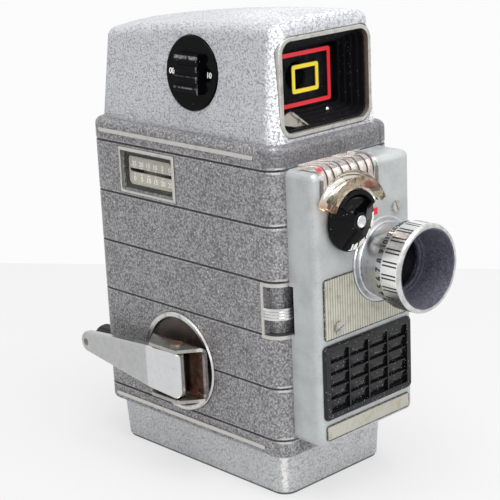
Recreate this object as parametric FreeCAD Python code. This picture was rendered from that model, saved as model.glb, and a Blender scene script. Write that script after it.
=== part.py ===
import FreeCAD, Part
import math
import os

# Clockwork cine camera for 25 ft spools of double-run 8 mm film, in millimetres.
# +Z is up, the lens looks along -Y, the winding key is on -X and the film door on +X.
# The origin is the mouth of the tripod socket, in the middle of the base.

# Main casing
BODY_WIDTH = 54.0
BODY_LENGTH = 88.5
BODY_HEIGHT = 100.9
BODY_CORNER_RADIUS = 5.9
BODY_TOP_ROUNDING = 2.4
BODY_BOTTOM_ROUNDING = 1.4
BODY_WALL = 1.8
GROOVE_COUNT = 6
GROOVE_PITCH = 17.5
GROOVE_FIRST_RISE = 6.1
GROOVE_WIDTH = 0.9
GROOVE_DEPTH = 0.5
GROOVE_END_GAP = 1.5

# Base casting under the casing
BASE_HEIGHT = 14.7
BASE_TOP_INSET = 2.9
BASE_BOTTOM_INSET = 3.6
BASE_CORNER_RADIUS = 5.0
BASE_WALL = 2.4
BASE_PLATE_THICKNESS = 0.9
BASE_PLATE_INSET = 0.5
TRIPOD_BUSH_RADIUS = 6.5
TRIPOD_BUSH_HEIGHT = 9.0
TRIPOD_THREAD_RADIUS = 3.0
TRIPOD_THREAD_DEPTH = 7.0

# Finder housing on top
HOUSING_REAR_INSET = 1.75
HOUSING_FRONT_INSET = 2.25
HOUSING_SIDE_INSET = 3.4
HOUSING_SIDE_SLOPE = 4.6
HOUSING_REAR_SLOPE = 5.0
HOUSING_REAR_HEIGHT = 29.6
HOUSING_MIDDLE_HEIGHT = 35.2
HOUSING_FRONT_HEIGHT = 36.9
HOUSING_CROWN = 2.2
HOUSING_CORNER_RADIUS = 4.5
HOUSING_TOP_ROUNDING = 3.6
HOUSING_WALL = 2.0

# Finder window and its optics
WINDOW_SIDE = 4.6
WINDOW_HEIGHT = 28.0
WINDOW_SILL = 2.4
WINDOW_CORNER_RADIUS = 3.8
WINDOW_BEZEL_WIDTH = 1.5
WINDOW_BEZEL_DEPTH = 1.6
WINDOW_RECESS = 0.15
BAFFLE_STEPS = 4
BAFFLE_FIRST_INSET = 0.7
BAFFLE_STEP_DEPTH = 1.9
BAFFLE_STEP_INSET = 0.9
BAFFLE_WALL = 0.9
FRAME_GLASS_THICKNESS = 1.0
WIDE_FRAME_WIDTH = 22.6
WIDE_FRAME_HEIGHT = 17.0
NARROW_FRAME_WIDTH = 11.7
NARROW_FRAME_HEIGHT = 8.9
FRAME_LINE = 1.3
FRAME_LINE_THICKNESS = 0.25
CLIP_WIDTH = 12.0
CLIP_HEIGHT = 5.4
CLIP_SHEET = 0.5
CLIP_LIP = 0.8
EYEPIECE_RADIUS = 7.5
EYEPIECE_LENGTH = 4.2
EYEPIECE_LENS_RADIUS = 4.6

# Front panel and what it carries
PANEL_SIDE_INSET = 5.1
PANEL_DEPTH = 11.6
PANEL_ROUNDING = 2.2
PANEL_WALL = 1.6
CELL_WINDOW_MARGIN = 1.6
CELL_WINDOW_HEIGHT = 24.5
CELL_WINDOW_RISE = 8.6
CELL_WINDOW_PROUD = 1.1
CELL_WINDOW_CORNER = 1.7
CELL_AREA_MARGIN = 2.3
CELL_AREA_HEIGHT = 20.0
CELL_COLUMNS = 4
CELL_ROWS = 5
CELL_BAR = 0.5
CELL_LENS_HEIGHT = 0.7
PLATE_THICKNESS = 0.4
UPPER_PLATE_MARGIN = 2.6
UPPER_PLATE_BOTTOM = 34.6
UPPER_PLATE_HEIGHT = 19.8
UPPER_PLATE_CORNER = 1.4
LOWER_PLATE_MARGIN = 2.4
LOWER_PLATE_BOTTOM = 1.7
LOWER_PLATE_HEIGHT = 5.1
LOWER_PLATE_CORNER = 1.1

# Lens
LENS_X = 7.9
LENS_RISE = 61.2
LENS_FLANGE_RADIUS = 13.7
LENS_FLANGE_THICKNESS = 0.8
LENS_COLLAR_RADIUS = 12.2
LENS_BARREL_REAR_RADIUS = 11.5
LENS_BARREL_FRONT_RADIUS = 13.4
LENS_BARREL_LENGTH = 11.3
LENS_TUBE_RADIUS = 9.5
LENS_RING_RADIUS = 14.1
LENS_RING_LENGTH = 6.8
LENS_RING_WALL = 0.9
LENS_RING_GROOVE_PAIRS = 22
LENS_RING_GROOVE_WIDTH = 0.5
LENS_RING_GROOVE_DEPTH = 0.35
LENS_MOUTH_RADIUS = 12.7
LENS_CONE_DEPTH = 11.2
LENS_CONE_RADIUS = 10.2
LENS_FRONT_GLASS_RADIUS = 8.6
LENS_REAR_GLASS_RADIUS = 5.2

# Exposure dial, its clear sector and the scale window above
DIAL_X = -7.4
DIAL_RISE = 77.4
DIAL_RADIUS = 9.95
DIAL_RIM = 1.0
DIAL_CONE_HEIGHT = 3.3
DIAL_HUB_RADIUS = 1.95
DIAL_LOBE_HEIGHT = 1.9
DIAL_LOBE_ANGLE = 83.0
DIAL_LOBE_SPREAD = 114.0
DIAL_LOBE_RIM = 1.4
DIAL_LOBE_CHEEK = 1.0
DIAL_SCOOP_FLOOR = 0.3
DIAL_STAND_OFF = 1.0
SECTOR_INNER_RADIUS = 10.35
SECTOR_OUTER_RADIUS = 15.2
SECTOR_FRONT_RADIUS = 13.4
SECTOR_DEPTH = 3.8
SECTOR_LAND = 0.6
SECTOR_EDGE = 0.3
SECTOR_START = 22.0
SECTOR_END = 157.0
SECTOR_END_ROUNDING = 1.5
SECTOR_FLUTE_RADIUS = 3.0
SECTOR_FLUTE_DEPTH = 0.6
SCALE_MARGIN = 2.6
SCALE_RIGHT = 6.7
SCALE_DROP = 9.5
SCALE_PROUD_FRONT = 0.8
SCALE_PROUD_TOP = 1.6
SCALE_REACH = 9.5
SCALE_ROUNDING = 4.2
METER_RADIUS = 8.0
METER_NEEDLE_LENGTH = 14.5
PANEL_SCREW_X = 14.5
PANEL_SCREW_RISE = 76.7
PANEL_SCREW_RADIUS = 1.75
PLATE_SCREW_X = -13.2
PLATE_SCREW_RISE = 44.1

# Film-speed dial on the housing side
SPEED_DIAL_Y = -4.8
SPEED_DIAL_RISE = 18.5
SPEED_DIAL_RADIUS = 11.8
SPEED_DIAL_THICKNESS = 1.4
SPEED_GRIP_LENGTH = 12.6
SPEED_GRIP_WIDTH = 10.4
SPEED_GRIP_HEIGHT = 2.6
SPEED_GRIP_RIDGES = 4
SPEED_WINDOW_GAP = 0.9
SPEED_WINDOW_LENGTH = 4.1
SPEED_WINDOW_HEIGHT = 4.1
SPEED_WINDOW_DEPTH = 0.5

# Trim strips, footage window and counter
TRIM_LENGTH = 74.6
TRIM_HEIGHT = 1.4
TRIM_PROUD = 0.35
TRIM_SINK = 0.6
TRIM_TOP_DROP = 3.7
TRIM_BOTTOM_RISE = 2.7
TRIM_Y = 1.3
FOOTAGE_Y = 14.7
FOOTAGE_DROP = 16.0
FOOTAGE_WIDTH = 27.6
FOOTAGE_HEIGHT = 15.5
FOOTAGE_FRAME = 1.0
FOOTAGE_PROUD = 0.5
DRUM_CLEARANCE = 1.5
DRUM_HEIGHT = 11.6
DRUM_SHAFT_RADIUS = 1.2

# Starter in the front corner
STARTER_RISE = 49.2
STARTER_SLOT_HEIGHT = 15.8
STARTER_SLOT_REAR_Y = -37.9
STARTER_SLOT_DEPTH = 2.5
STARTER_FRAME = 1.2
STARTER_BUTTON_HEIGHT = 3.8
STARTER_REST_DROP = 0.8
STARTER_PROUD = 0.5
STARTER_NOTCH = 1.6
STARTER_POCKET_WALL = 1.4

# Winding key
KEY_Y = 3.4
KEY_RISE = 22.7
KEY_RING_RADIUS = 17.0
KEY_RING_WIDTH = 1.8
KEY_RING_PROUD = 1.0
KEY_DISC_RECESS = 1.9
KEY_DISC_THICKNESS = 1.3
KEY_ARBOR_RADIUS = 3.0
BRACKET_SHEET = 1.1
BRACKET_STAND = 2.3
BRACKET_HALF_HEIGHT = 9.3
BRACKET_FRONT = -16.1
BRACKET_REAR = 9.8
BRACKET_REACH = 11.3
BRACKET_BEND = 2.6
HANDLE_PIVOT_STAND = 6.9
HANDLE_PIVOT_Y = -3.3
HANDLE_LENGTH = 49.6
HANDLE_HEEL = 4.0
HANDLE_HEEL_CORNER = 2.2
HANDLE_HEEL_ROLL = 2.2
HANDLE_ROOT_HEIGHT = 16.4
HANDLE_TIP_HEIGHT = 7.4
HANDLE_THICKNESS = 3.4
HANDLE_ROOT_FACE = 10.9
HANDLE_TIP_FACE = 8.6
HANDLE_PIN_RADIUS = 1.3

# Film door, hinge and latch
DOOR_DEPTH = 5.9
DOOR_GAP = 0.15
DOOR_LIP = 1.6
DOOR_LIP_THICKNESS = 1.0
HINGE_INSET = 2.5
HINGE_STAND = 2.1
HINGE_KNUCKLE_RADIUS = 1.6
HINGE_PIN_RADIUS = 0.8
HINGE_KNUCKLE_LENGTH = 9.0
HINGE_LEAF = 0.8
HINGE_RISES = (19.3, 73.3)
LATCH_INSET = 7.0
LATCH_RISE = 17.7
LATCH_KNOB_RADIUS = 5.0
LATCH_KNOB_LENGTH = 10.2
LATCH_SHAFT_RADIUS = 2.0
LATCH_ARM_WIDTH = 4.0
LATCH_ARM_THICKNESS = 1.2
LATCH_HOOK_GAP = 1.8
LATCH_HOOK_HEIGHT = 5.4

# Clockwork
PLATE_X = 0.6
PLATE_SHEET = 1.6
BARREL_RADIUS = 18.6
BARREL_INSET = 6.0
BARREL_TO_WHEEL = 2.4
GEAR_MODULE_MAIN = 0.8
GEAR_MODULE_FINE = 0.6
BARREL_TEETH = 48
TRAIN_PINION_TEETH = 12
TRAIN_WHEEL_TEETH = 40
TAKEUP_WHEEL_TEETH = 30
GOVERNOR_PINION_TEETH = 10
CROWN_WHEEL_TEETH = 30
SHUTTER_PINION_TEETH = 8
GEAR_THICKNESS = 1.2
WHEEL_FROM_PLATE = 6.2
SHAFT_RADIUS = 1.2
SHUTTER_FROM_PLATE = 6.6
SHUTTER_WALL_GAP = 2.6
SHUTTER_FROM_WALL = 2.85
SHUTTER_SHEET = 0.6
SHUTTER_OPEN_ANGLE = 165.0
GOVERNOR_ANGLE = 160.0
GOVERNOR_RADIUS = 5.6

# Film path
SPOOL_RADIUS = 25.0
SPOOL_WIDTH = 18.2
SPOOL_CORE_RADIUS = 8.0
SPOOL_FLANGE = 0.9
SPINDLE_RADIUS = 3.6
TAKEUP_Y = -11.6
TAKEUP_RISE = 28.5
SUPPLY_Y = 15.8
SUPPLY_DROP = 28.5
GATE_FROM_WALL = 7.25
GATE_WIDTH = 18.0
GATE_HEIGHT = 30.0
GATE_SHEET = 1.0
APERTURE_WIDTH = 4.9
APERTURE_HEIGHT = 3.7
PRESSURE_PLATE_HEIGHT = 20.0
CLAW_STROKE = 3.8

# Clearances
RUNNING = 0.05
SLIDING = 0.15
SEAT = 0.1
THROUGH = 1.0

# Places worked out from the sizes above
HALF_WIDTH = BODY_WIDTH / 2
HALF_LENGTH = BODY_LENGTH / 2
BODY_BOTTOM = BASE_HEIGHT
BODY_TOP = BASE_HEIGHT + BODY_HEIGHT
DOOR_X = HALF_WIDTH - DOOR_DEPTH
INNER_X = HALF_WIDTH - BODY_WALL
INNER_Y = HALF_LENGTH - BODY_WALL
INNER_BOTTOM = BODY_BOTTOM + BODY_WALL
INNER_TOP = BODY_TOP - BODY_WALL
INNER_RADIUS = BODY_CORNER_RADIUS - BODY_WALL
PANEL_BOTTOM = BODY_BOTTOM + GROOVE_FIRST_RISE
SPEED_DIAL_Z = BODY_TOP + SPEED_DIAL_RISE
FOOTAGE_Z = BODY_TOP - FOOTAGE_DROP
KEY_Z = BODY_BOTTOM + KEY_RISE
LATCH_Z = BODY_BOTTOM + LATCH_RISE
TAKEUP_Z = BODY_BOTTOM + TAKEUP_RISE
SUPPLY_Z = BODY_TOP - SUPPLY_DROP
SHUTTER_Y = -INNER_Y + SHUTTER_FROM_WALL
GATE_Y = -INNER_Y + GATE_FROM_WALL
PANEL_TOP = PANEL_BOTTOM + GROOVE_PITCH * (GROOVE_COUNT - 1)
PANEL_FRONT = -HALF_LENGTH - PANEL_DEPTH
PANEL_WIDTH = BODY_WIDTH - 2 * PANEL_SIDE_INSET
PANEL_HALF_WIDTH = PANEL_WIDTH / 2
CELL_WINDOW_WIDTH = PANEL_WIDTH - 2 * CELL_WINDOW_MARGIN
CELL_AREA_WIDTH = CELL_WINDOW_WIDTH - 2 * CELL_AREA_MARGIN
UPPER_PLATE_WIDTH = PANEL_WIDTH - 2 * UPPER_PLATE_MARGIN
LOWER_PLATE_WIDTH = PANEL_WIDTH - 2 * LOWER_PLATE_MARGIN
LENS_Z = BODY_BOTTOM + LENS_RISE
DIAL_Z = BODY_BOTTOM + DIAL_RISE
SCALE_LEFT = SCALE_MARGIN - PANEL_HALF_WIDTH
SCALE_BOTTOM = PANEL_TOP - SCALE_DROP
PANEL_SCREW_Z = BODY_BOTTOM + PANEL_SCREW_RISE
PLATE_SCREW_Z = BODY_BOTTOM + PLATE_SCREW_RISE
STARTER_Z = BODY_BOTTOM + STARTER_RISE
HINGE_HEIGHTS = tuple(BODY_BOTTOM + rise for rise in HINGE_RISES)
PLATE_FILM_X = PLATE_X + PLATE_SHEET
HOUSING_HALF_WIDTH = HALF_WIDTH - HOUSING_SIDE_INSET
HOUSING_REAR_Y = HALF_LENGTH - HOUSING_REAR_INSET
HOUSING_FRONT_Y = -HALF_LENGTH + HOUSING_FRONT_INSET
WINDOW_WIDTH = 2 * (HOUSING_HALF_WIDTH - WINDOW_SIDE)
WINDOW_Z = BODY_TOP + WINDOW_SILL + WINDOW_HEIGHT / 2
WINDOW_Y = HOUSING_FRONT_Y + WINDOW_RECESS
HINGE_X = HALF_WIDTH - HINGE_INSET
HINGE_Y = -HALF_LENGTH - HINGE_STAND
LATCH_X = LATCH_INSET - HALF_WIDTH
LATCH_HOOK_X = DOOR_X + LATCH_HOOK_GAP
DRUM_RADIUS = (INNER_X + PLATE_X) / 2 - DRUM_CLEARANCE
WHEEL_X = PLATE_X - WHEEL_FROM_PLATE
BARREL_X = BARREL_INSET - HALF_WIDTH
BARREL_LENGTH = WHEEL_X - BARREL_TO_WHEEL - BARREL_X
SHUTTER_X = PLATE_X - SHUTTER_FROM_PLATE
SHUTTER_RADIUS = INNER_X + SHUTTER_X - SHUTTER_WALL_GAP
KEY_RECESS_FLOOR = -HALF_WIDTH + KEY_DISC_RECESS
HANDLE_PIVOT_X = -HALF_WIDTH - HANDLE_PIVOT_STAND


def vec(x, y, z):
    return FreeCAD.Vector(x, y, z)


def block(x0, x1, y0, y1, z0, z1):
    return Part.makeBox(x1 - x0, y1 - y0, z1 - z0, vec(x0, y0, z0))


def rod_x(radius, x0, x1, y, z):
    return Part.makeCylinder(radius, x1 - x0, vec(x0, y, z), vec(1, 0, 0))


def rod_y(radius, y0, y1, x, z):
    return Part.makeCylinder(radius, y1 - y0, vec(x, y0, z), vec(0, 1, 0))


def rod_z(radius, z0, z1, x, y):
    return Part.makeCylinder(radius, z1 - z0, vec(x, y, z0), vec(0, 0, 1))


def fuse_all(shapes):
    """One solid from pieces that touch, with the joint lines between them removed."""
    result = shapes[0]
    for shape in shapes[1:]:
        result = result.fuse(shape)
    return result.removeSplitter()


def edges_along(shape, direction, test=None):
    """Straight edges parallel to a direction, kept where the test of their middle is true."""
    found = []
    for edge in shape.Edges:
        if edge.Curve.TypeId != "Part::GeomLine":
            continue
        if abs(abs(edge.Curve.Direction.dot(direction)) - 1) > 1e-6:
            continue
        if test is None or test(edge.CenterOfMass):
            found.append(edge)
    return found


def slab_x(y0, y1, z0, z1, radius, x0, x1):
    """Plate facing along X with rounded corners."""
    body = block(x0, x1, y0, y1, z0, z1)
    return body.makeFillet(radius, edges_along(body, vec(1, 0, 0)))


def slab_y(x0, x1, z0, z1, radius, y0, y1):
    """Plate facing along Y with rounded corners."""
    body = block(x0, x1, y0, y1, z0, z1)
    return body.makeFillet(radius, edges_along(body, vec(0, 1, 0)))


def slab_z(x0, x1, y0, y1, radius, z0, z1):
    """Block standing along Z with rounded corners."""
    body = block(x0, x1, y0, y1, z0, z1)
    return body.makeFillet(radius, edges_along(body, vec(0, 0, 1)))


def outline_z(x0, x1, y0, y1, radius, z):
    """Closed rounded rectangle at one height, for lofts."""
    face = slab_z(x0, x1, y0, y1, radius, z, z + 1.0)
    for wire in face.Faces:
        if abs(wire.CenterOfMass.z - z) < 1e-6:
            return wire.OuterWire
    return None


def turned_y(profile, x, z):
    """Turned piece: a closed profile of radius and y, revolved about a line along Y."""
    points = [vec(x + radius, y, z) for radius, y in profile]
    face = Part.Face(Part.makePolygon(points + [points[0]]))
    return face.revolve(vec(x, 0, z), vec(0, 1, 0), 360)


def turned_x(profile, y, z):
    """Turned piece: a closed profile of radius and x, revolved about a line along X."""
    points = [vec(x, y, z + radius) for radius, x in profile]
    face = Part.Face(Part.makePolygon(points + [points[0]]))
    return face.revolve(vec(0, y, z), vec(1, 0, 0), 360)


def prism_z(points, z0, z1):
    """Flat outline in x and y, raised along Z."""
    corners = [vec(x, y, z0) for x, y in points]
    face = Part.Face(Part.makePolygon(corners + [corners[0]]))
    return face.extrude(vec(0, 0, z1 - z0))


def prism_x(points, x0, x1):
    """Flat outline in y and z, raised along X."""
    corners = [vec(x0, y, z) for y, z in points]
    face = Part.Face(Part.makePolygon(corners + [corners[0]]))
    return face.extrude(vec(x1 - x0, 0, 0))


def prism_y(points, y0, y1):
    """Flat outline in x and z, raised along Y."""
    corners = [vec(x, y0, z) for x, z in points]
    face = Part.Face(Part.makePolygon(corners + [corners[0]]))
    return face.extrude(vec(0, y1 - y0, 0))


def gear_outline(teeth, module, phase):
    """Corners of a spur gear with straight-sided teeth and backlash, about (0, 0)."""
    pitch = teeth * module / 2
    tip = pitch + 0.8 * module
    root = pitch - 1.1 * module
    step = 2 * math.pi / teeth
    points = []
    for tooth in range(teeth):
        middle = phase + tooth * step
        for radius, share in ((root, -0.30), (tip, -0.10), (tip, 0.10), (root, 0.30)):
            angle = middle + share * step
            points.append((radius * math.cos(angle), radius * math.sin(angle)))
    return points


def spur_x(teeth, module, x0, x1, y, z, phase=0.0):
    """Spur gear on a line along X."""
    return prism_x([(y + a, z + b) for a, b in gear_outline(teeth, module, phase)], x0, x1)


def casing_outer():
    """Outer form of the casing, door included, with its rounded edges and its grooves."""
    shape = slab_z(-HALF_WIDTH, HALF_WIDTH, -HALF_LENGTH, HALF_LENGTH, BODY_CORNER_RADIUS,
                   BODY_BOTTOM, BODY_TOP)
    top = [e for e in shape.Edges if abs(e.BoundBox.ZMin - BODY_TOP) < 1e-6]
    shape = shape.makeFillet(BODY_TOP_ROUNDING, top)
    bottom = [e for e in shape.Edges if abs(e.BoundBox.ZMax - BODY_BOTTOM) < 1e-6]
    shape = shape.makeFillet(BODY_BOTTOM_ROUNDING, bottom)
    for index in range(GROOVE_COUNT):
        z = PANEL_BOTTOM + index * GROOVE_PITCH
        shape = shape.cut(groove_tool(z))
    return shape


def groove_tool(z):
    """Ring with a vee-shaped inner edge, which cuts one groove round the casing to the panel."""
    half = GROOVE_WIDTH / 2
    far = THROUGH

    def outline(inset, height):
        return outline_z(-HALF_WIDTH + inset, HALF_WIDTH - inset, -HALF_LENGTH + inset,
                         HALF_LENGTH - inset, BODY_CORNER_RADIUS - inset, height)

    waist = Part.makeLoft([outline(0, z - half), outline(GROOVE_DEPTH, z)], True, True)
    upper = Part.makeLoft([outline(GROOVE_DEPTH, z), outline(0, z + half)], True, True)
    ring = slab_z(-HALF_WIDTH - far, HALF_WIDTH + far, -HALF_LENGTH - far, HALF_LENGTH + far,
                  BODY_CORNER_RADIUS + far, z - half, z + half)
    end = PANEL_HALF_WIDTH + GROOVE_END_GAP
    panel = block(-end, end, -HALF_LENGTH - 2 * far, 0, z - half - far, z + half + far)
    return ring.cut(waist).cut(upper).cut(panel)


def casing_cavity():
    """Room inside the casing, from the key side to the door side."""
    return slab_z(-INNER_X, INNER_X, -INNER_Y, INNER_Y, INNER_RADIUS, INNER_BOTTOM, INNER_TOP)


def casing_cavity_grown():
    """The room inside the casing, let a little into the walls."""
    return slab_z(-INNER_X - 0.5, INNER_X + 0.5, -INNER_Y - 0.5, INNER_Y + 0.5,
                  INNER_RADIUS + 0.5, INNER_BOTTOM - 0.5, INNER_TOP + 0.5)


def trim_rises():
    """Heights of the middle of the upper and the lower trim strip."""
    return (BODY_TOP - TRIM_TOP_DROP, BODY_BOTTOM + TRIM_BOTTOM_RISE)


def trim_bar(side, z, extra, sink):
    """Half-round bar along one side of the casing, with pointed-off ends."""
    half = TRIM_LENGTH / 2 + extra
    height = TRIM_HEIGHT / 2 + extra
    inner = HALF_WIDTH - sink
    outer = HALF_WIDTH + TRIM_PROUD + extra
    bar = slab_x(TRIM_Y - half, TRIM_Y + half, z - height, z + height, height * 0.98,
                 min(side * inner, side * outer), max(side * inner, side * outer))
    return bar


def body_shell():
    """Casting that holds the clockwork: the key side, front, back, top and bottom walls."""
    outer = casing_outer()
    keep = block(-HALF_WIDTH - THROUGH, DOOR_X, -HALF_LENGTH - THROUGH, HALF_LENGTH + THROUGH,
                 BODY_BOTTOM - THROUGH, BODY_TOP + THROUGH)
    cavity = casing_cavity().cut(starter_pocket_wall()).cut(key_boss())
    for y, z in pillar_places():
        cavity = cavity.cut(rod_x(3.2, -INNER_X - 0.1, PLATE_X, y, z))
    shape = outer.common(keep).cut(cavity)
    shape = shape.cut(starter_pocket())
    shape = shape.cut(rod_x(KEY_RING_RADIUS - KEY_RING_WIDTH, -HALF_WIDTH - THROUGH,
                            KEY_RECESS_FLOOR, KEY_Y, KEY_Z))
    shape = shape.cut(rod_x(KEY_RING_RADIUS + SEAT, -HALF_WIDTH - THROUGH,
                            -HALF_WIDTH + 0.6, KEY_Y, KEY_Z))
    shape = shape.cut(rod_x(KEY_ARBOR_RADIUS + RUNNING, -HALF_WIDTH - THROUGH,
                            -INNER_X + 6.0, KEY_Y, KEY_Z))
    glass = FOOTAGE_FRAME + 0.6
    shape = shape.cut(block(-HALF_WIDTH - THROUGH, -INNER_X + THROUGH,
                            FOOTAGE_Y - FOOTAGE_WIDTH / 2 + glass,
                            FOOTAGE_Y + FOOTAGE_WIDTH / 2 - glass,
                            FOOTAGE_Z - FOOTAGE_HEIGHT / 2 + glass,
                            FOOTAGE_Z + FOOTAGE_HEIGHT / 2 - glass))
    shape = shape.cut(footage_outline(FOOTAGE_PROUD + THROUGH, 0.6, SEAT))
    for z in trim_rises():
        shape = shape.cut(trim_bar(-1, z, 0.0, TRIM_SINK))
    shape = shape.cut(rod_y(LENS_TUBE_RADIUS + SEAT, -HALF_LENGTH - THROUGH, -INNER_Y + THROUGH,
                            LENS_X, LENS_Z))
    shape = shape.cut(rod_y(LATCH_SHAFT_RADIUS + RUNNING, INNER_Y - THROUGH,
                            HALF_LENGTH + THROUGH, LATCH_X, LATCH_Z))
    return shape


def key_boss():
    """Round thickening of the side wall behind the key recess."""
    return rod_x(KEY_RING_RADIUS, -INNER_X - 0.1, KEY_RECESS_FLOOR + BODY_WALL, KEY_Y, KEY_Z)


def pillar_places():
    """Corners of the clockwork plate, where pillars of the casting carry it."""
    y = INNER_Y - 5.0
    low = INNER_BOTTOM + 5.0
    high = INNER_TOP - 5.0
    return ((-y + 3.0, low), (y, low), (-y + 3.0, high), (y, high))


def corner_inset(depth, z0, z1):
    """Casing form drawn in by a depth, used for the pocket and the button of the starter."""
    return slab_z(-HALF_WIDTH + depth, HALF_WIDTH - depth, -HALF_LENGTH + depth,
                  HALF_LENGTH - depth, BODY_CORNER_RADIUS - depth, z0, z1)


def starter_band(front_x, rear_y, z0, z1):
    """Block over the front corner, from the key side to a line behind the front panel."""
    return block(-HALF_WIDTH - THROUGH, front_x, -HALF_LENGTH - THROUGH, rear_y, z0, z1)


def starter_pocket():
    """Room that the starter slides in, scooped out of the front corner."""
    low = STARTER_Z - STARTER_SLOT_HEIGHT / 2
    high = STARTER_Z + STARTER_SLOT_HEIGHT / 2
    band = starter_band(-PANEL_HALF_WIDTH + 8.0, STARTER_SLOT_REAR_Y, low, high)
    return band.cut(corner_inset(STARTER_SLOT_DEPTH, low - THROUGH, high + THROUGH))


def starter_pocket_wall():
    """Thicker corner of the casting round the starter's pocket."""
    low = STARTER_Z - STARTER_SLOT_HEIGHT / 2 - BODY_WALL
    high = STARTER_Z + STARTER_SLOT_HEIGHT / 2 + BODY_WALL
    band = starter_band(-PANEL_HALF_WIDTH + 8.0 + BODY_WALL, STARTER_SLOT_REAR_Y + BODY_WALL,
                        low, high)
    depth = STARTER_SLOT_DEPTH + STARTER_POCKET_WALL
    return band.cut(corner_inset(depth, low - THROUGH, high + THROUGH))


def starter_frame():
    """Bright sheet frame let in flush round the starter's slot, on the side and the corner."""
    half = STARTER_SLOT_HEIGHT / 2
    wide = STARTER_FRAME
    outer = starter_band(-PANEL_HALF_WIDTH, STARTER_SLOT_REAR_Y + wide,
                         STARTER_Z - half - wide, STARTER_Z + half + wide)
    inner = starter_band(-PANEL_HALF_WIDTH + THROUGH, STARTER_SLOT_REAR_Y,
                         STARTER_Z - half, STARTER_Z + half)
    skin = corner_inset(-0.15, STARTER_Z - half - wide - 1, STARTER_Z + half + wide + 1)
    core = corner_inset(0.0, STARTER_Z - half - wide - 2, STARTER_Z + half + wide + 2)
    return outer.cut(inner).common(skin).cut(core)


def starter_button():
    """Ribbed thumb piece round the corner, with the tail that runs behind the front panel."""
    half = STARTER_BUTTON_HEIGHT / 2
    low = STARTER_Z - STARTER_REST_DROP - half
    high = low + STARTER_BUTTON_HEIGHT
    band = starter_band(-PANEL_HALF_WIDTH + 7.0, STARTER_SLOT_REAR_Y - SLIDING, low, high)
    shape = band.common(corner_inset(-STARTER_PROUD, low, high))
    shape = shape.cut(corner_inset(STARTER_SLOT_DEPTH - SLIDING, low - 1, high + 1))
    rib = STARTER_BUTTON_HEIGHT / 4
    for index in range(3):
        z = low + rib * (index + 1)
        cutter = corner_inset(-STARTER_PROUD - THROUGH, z - 0.22, z + 0.22)
        cutter = cutter.cut(corner_inset(-STARTER_PROUD + 0.45, z - 1, z + 1))
        shape = shape.cut(cutter)
    return shape


def film_door():
    """Door pan on the film side, with its light lip, hinge lugs and the keeper of the latch."""
    outer = casing_outer()
    keep = block(DOOR_X + DOOR_GAP, HALF_WIDTH + THROUGH, -HALF_LENGTH - THROUGH,
                 HALF_LENGTH + THROUGH, BODY_BOTTOM - THROUGH, BODY_TOP + THROUGH)
    shape = outer.common(keep).cut(casing_cavity())
    gap = 2 * SLIDING
    thin = gap + DOOR_LIP_THICKNESS
    lip = block(DOOR_X - DOOR_LIP, INNER_X - 1.0, -INNER_Y + gap, INNER_Y - gap,
                INNER_BOTTOM + gap, INNER_TOP - gap)
    room = block(DOOR_X - DOOR_LIP - THROUGH, INNER_X, -INNER_Y + thin, INNER_Y - thin,
                 INNER_BOTTOM + thin, INNER_TOP - thin)
    corners = slab_z(DOOR_X - 20.0, HALF_WIDTH - 0.4, -INNER_Y + gap, INNER_Y - gap,
                     INNER_RADIUS + 0.8, BODY_BOTTOM, BODY_TOP)
    shape = shape.fuse(lip.cut(room).common(corners))
    frame = block(DOOR_X + DOOR_GAP, DOOR_X + 1.6, -INNER_Y - 0.5, INNER_Y + 0.5,
                  INNER_BOTTOM - 0.5, INNER_TOP + 0.5)
    shape = shape.fuse(frame.cut(room).common(casing_cavity_grown()))
    for z in trim_rises():
        shape = shape.cut(trim_bar(1, z, 0.0, TRIM_SINK))
    for z in HINGE_HEIGHTS:
        half = HINGE_KNUCKLE_LENGTH / 2
        lug = block(HINGE_X - 0.2, HINGE_X + HINGE_KNUCKLE_RADIUS - 0.2, HINGE_Y,
                    -HALF_LENGTH + 2.2, z, z + half)
        barrel = rod_z(HINGE_KNUCKLE_RADIUS, z, z + half, HINGE_X, HINGE_Y)
        shape = shape.fuse(lug).fuse(barrel)
        shape = shape.cut(rod_z(HINGE_PIN_RADIUS + RUNNING, z - 1, z + half + 1,
                                HINGE_X, HINGE_Y))
    shape = shape.fuse(latch_keeper())
    return shape.removeSplitter()


def latch_keeper():
    """Lug on the door's rear wall that the hook of the latch holds."""
    y0 = latch_arm_y() - 0.4
    low = LATCH_Z + LATCH_HOOK_HEIGHT + 0.5
    return block(DOOR_X - 0.7, LATCH_HOOK_X - 0.8, y0, INNER_Y - 0.5, low, low + 4.0)


def hinge_leaf():
    """Hinge leaf on the panel's side wall, with the lower half of each knuckle."""
    x0 = PANEL_HALF_WIDTH
    x1 = x0 + HINGE_LEAF
    shapes = []
    for z in HINGE_HEIGHTS:
        half = HINGE_KNUCKLE_LENGTH / 2
        leaf = block(x0, x1, HINGE_Y - 6.5, HINGE_Y + 1.2, z - half - 0.2, z - 0.1)
        arm = block(x0, max(HINGE_X, x1), HINGE_Y - HINGE_KNUCKLE_RADIUS, HINGE_Y - 0.6,
                    z - half - 0.2, z - 0.1)
        barrel = rod_z(HINGE_KNUCKLE_RADIUS, z - half - 0.2, z - 0.1, HINGE_X, HINGE_Y)
        pin = rod_z(HINGE_PIN_RADIUS, z - half - 0.2, z + half + 0.2, HINGE_X, HINGE_Y)
        shapes.append(fuse_all([leaf, arm, barrel, pin]))
    return Part.makeCompound(shapes)


def trim_strips(side):
    """Bright strips along one side, one near the top and one near the bottom."""
    bars = []
    for z in trim_rises():
        bars.append(trim_bar(side, z, -0.02, TRIM_SINK - 0.02))
    return Part.makeCompound(bars)


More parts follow.
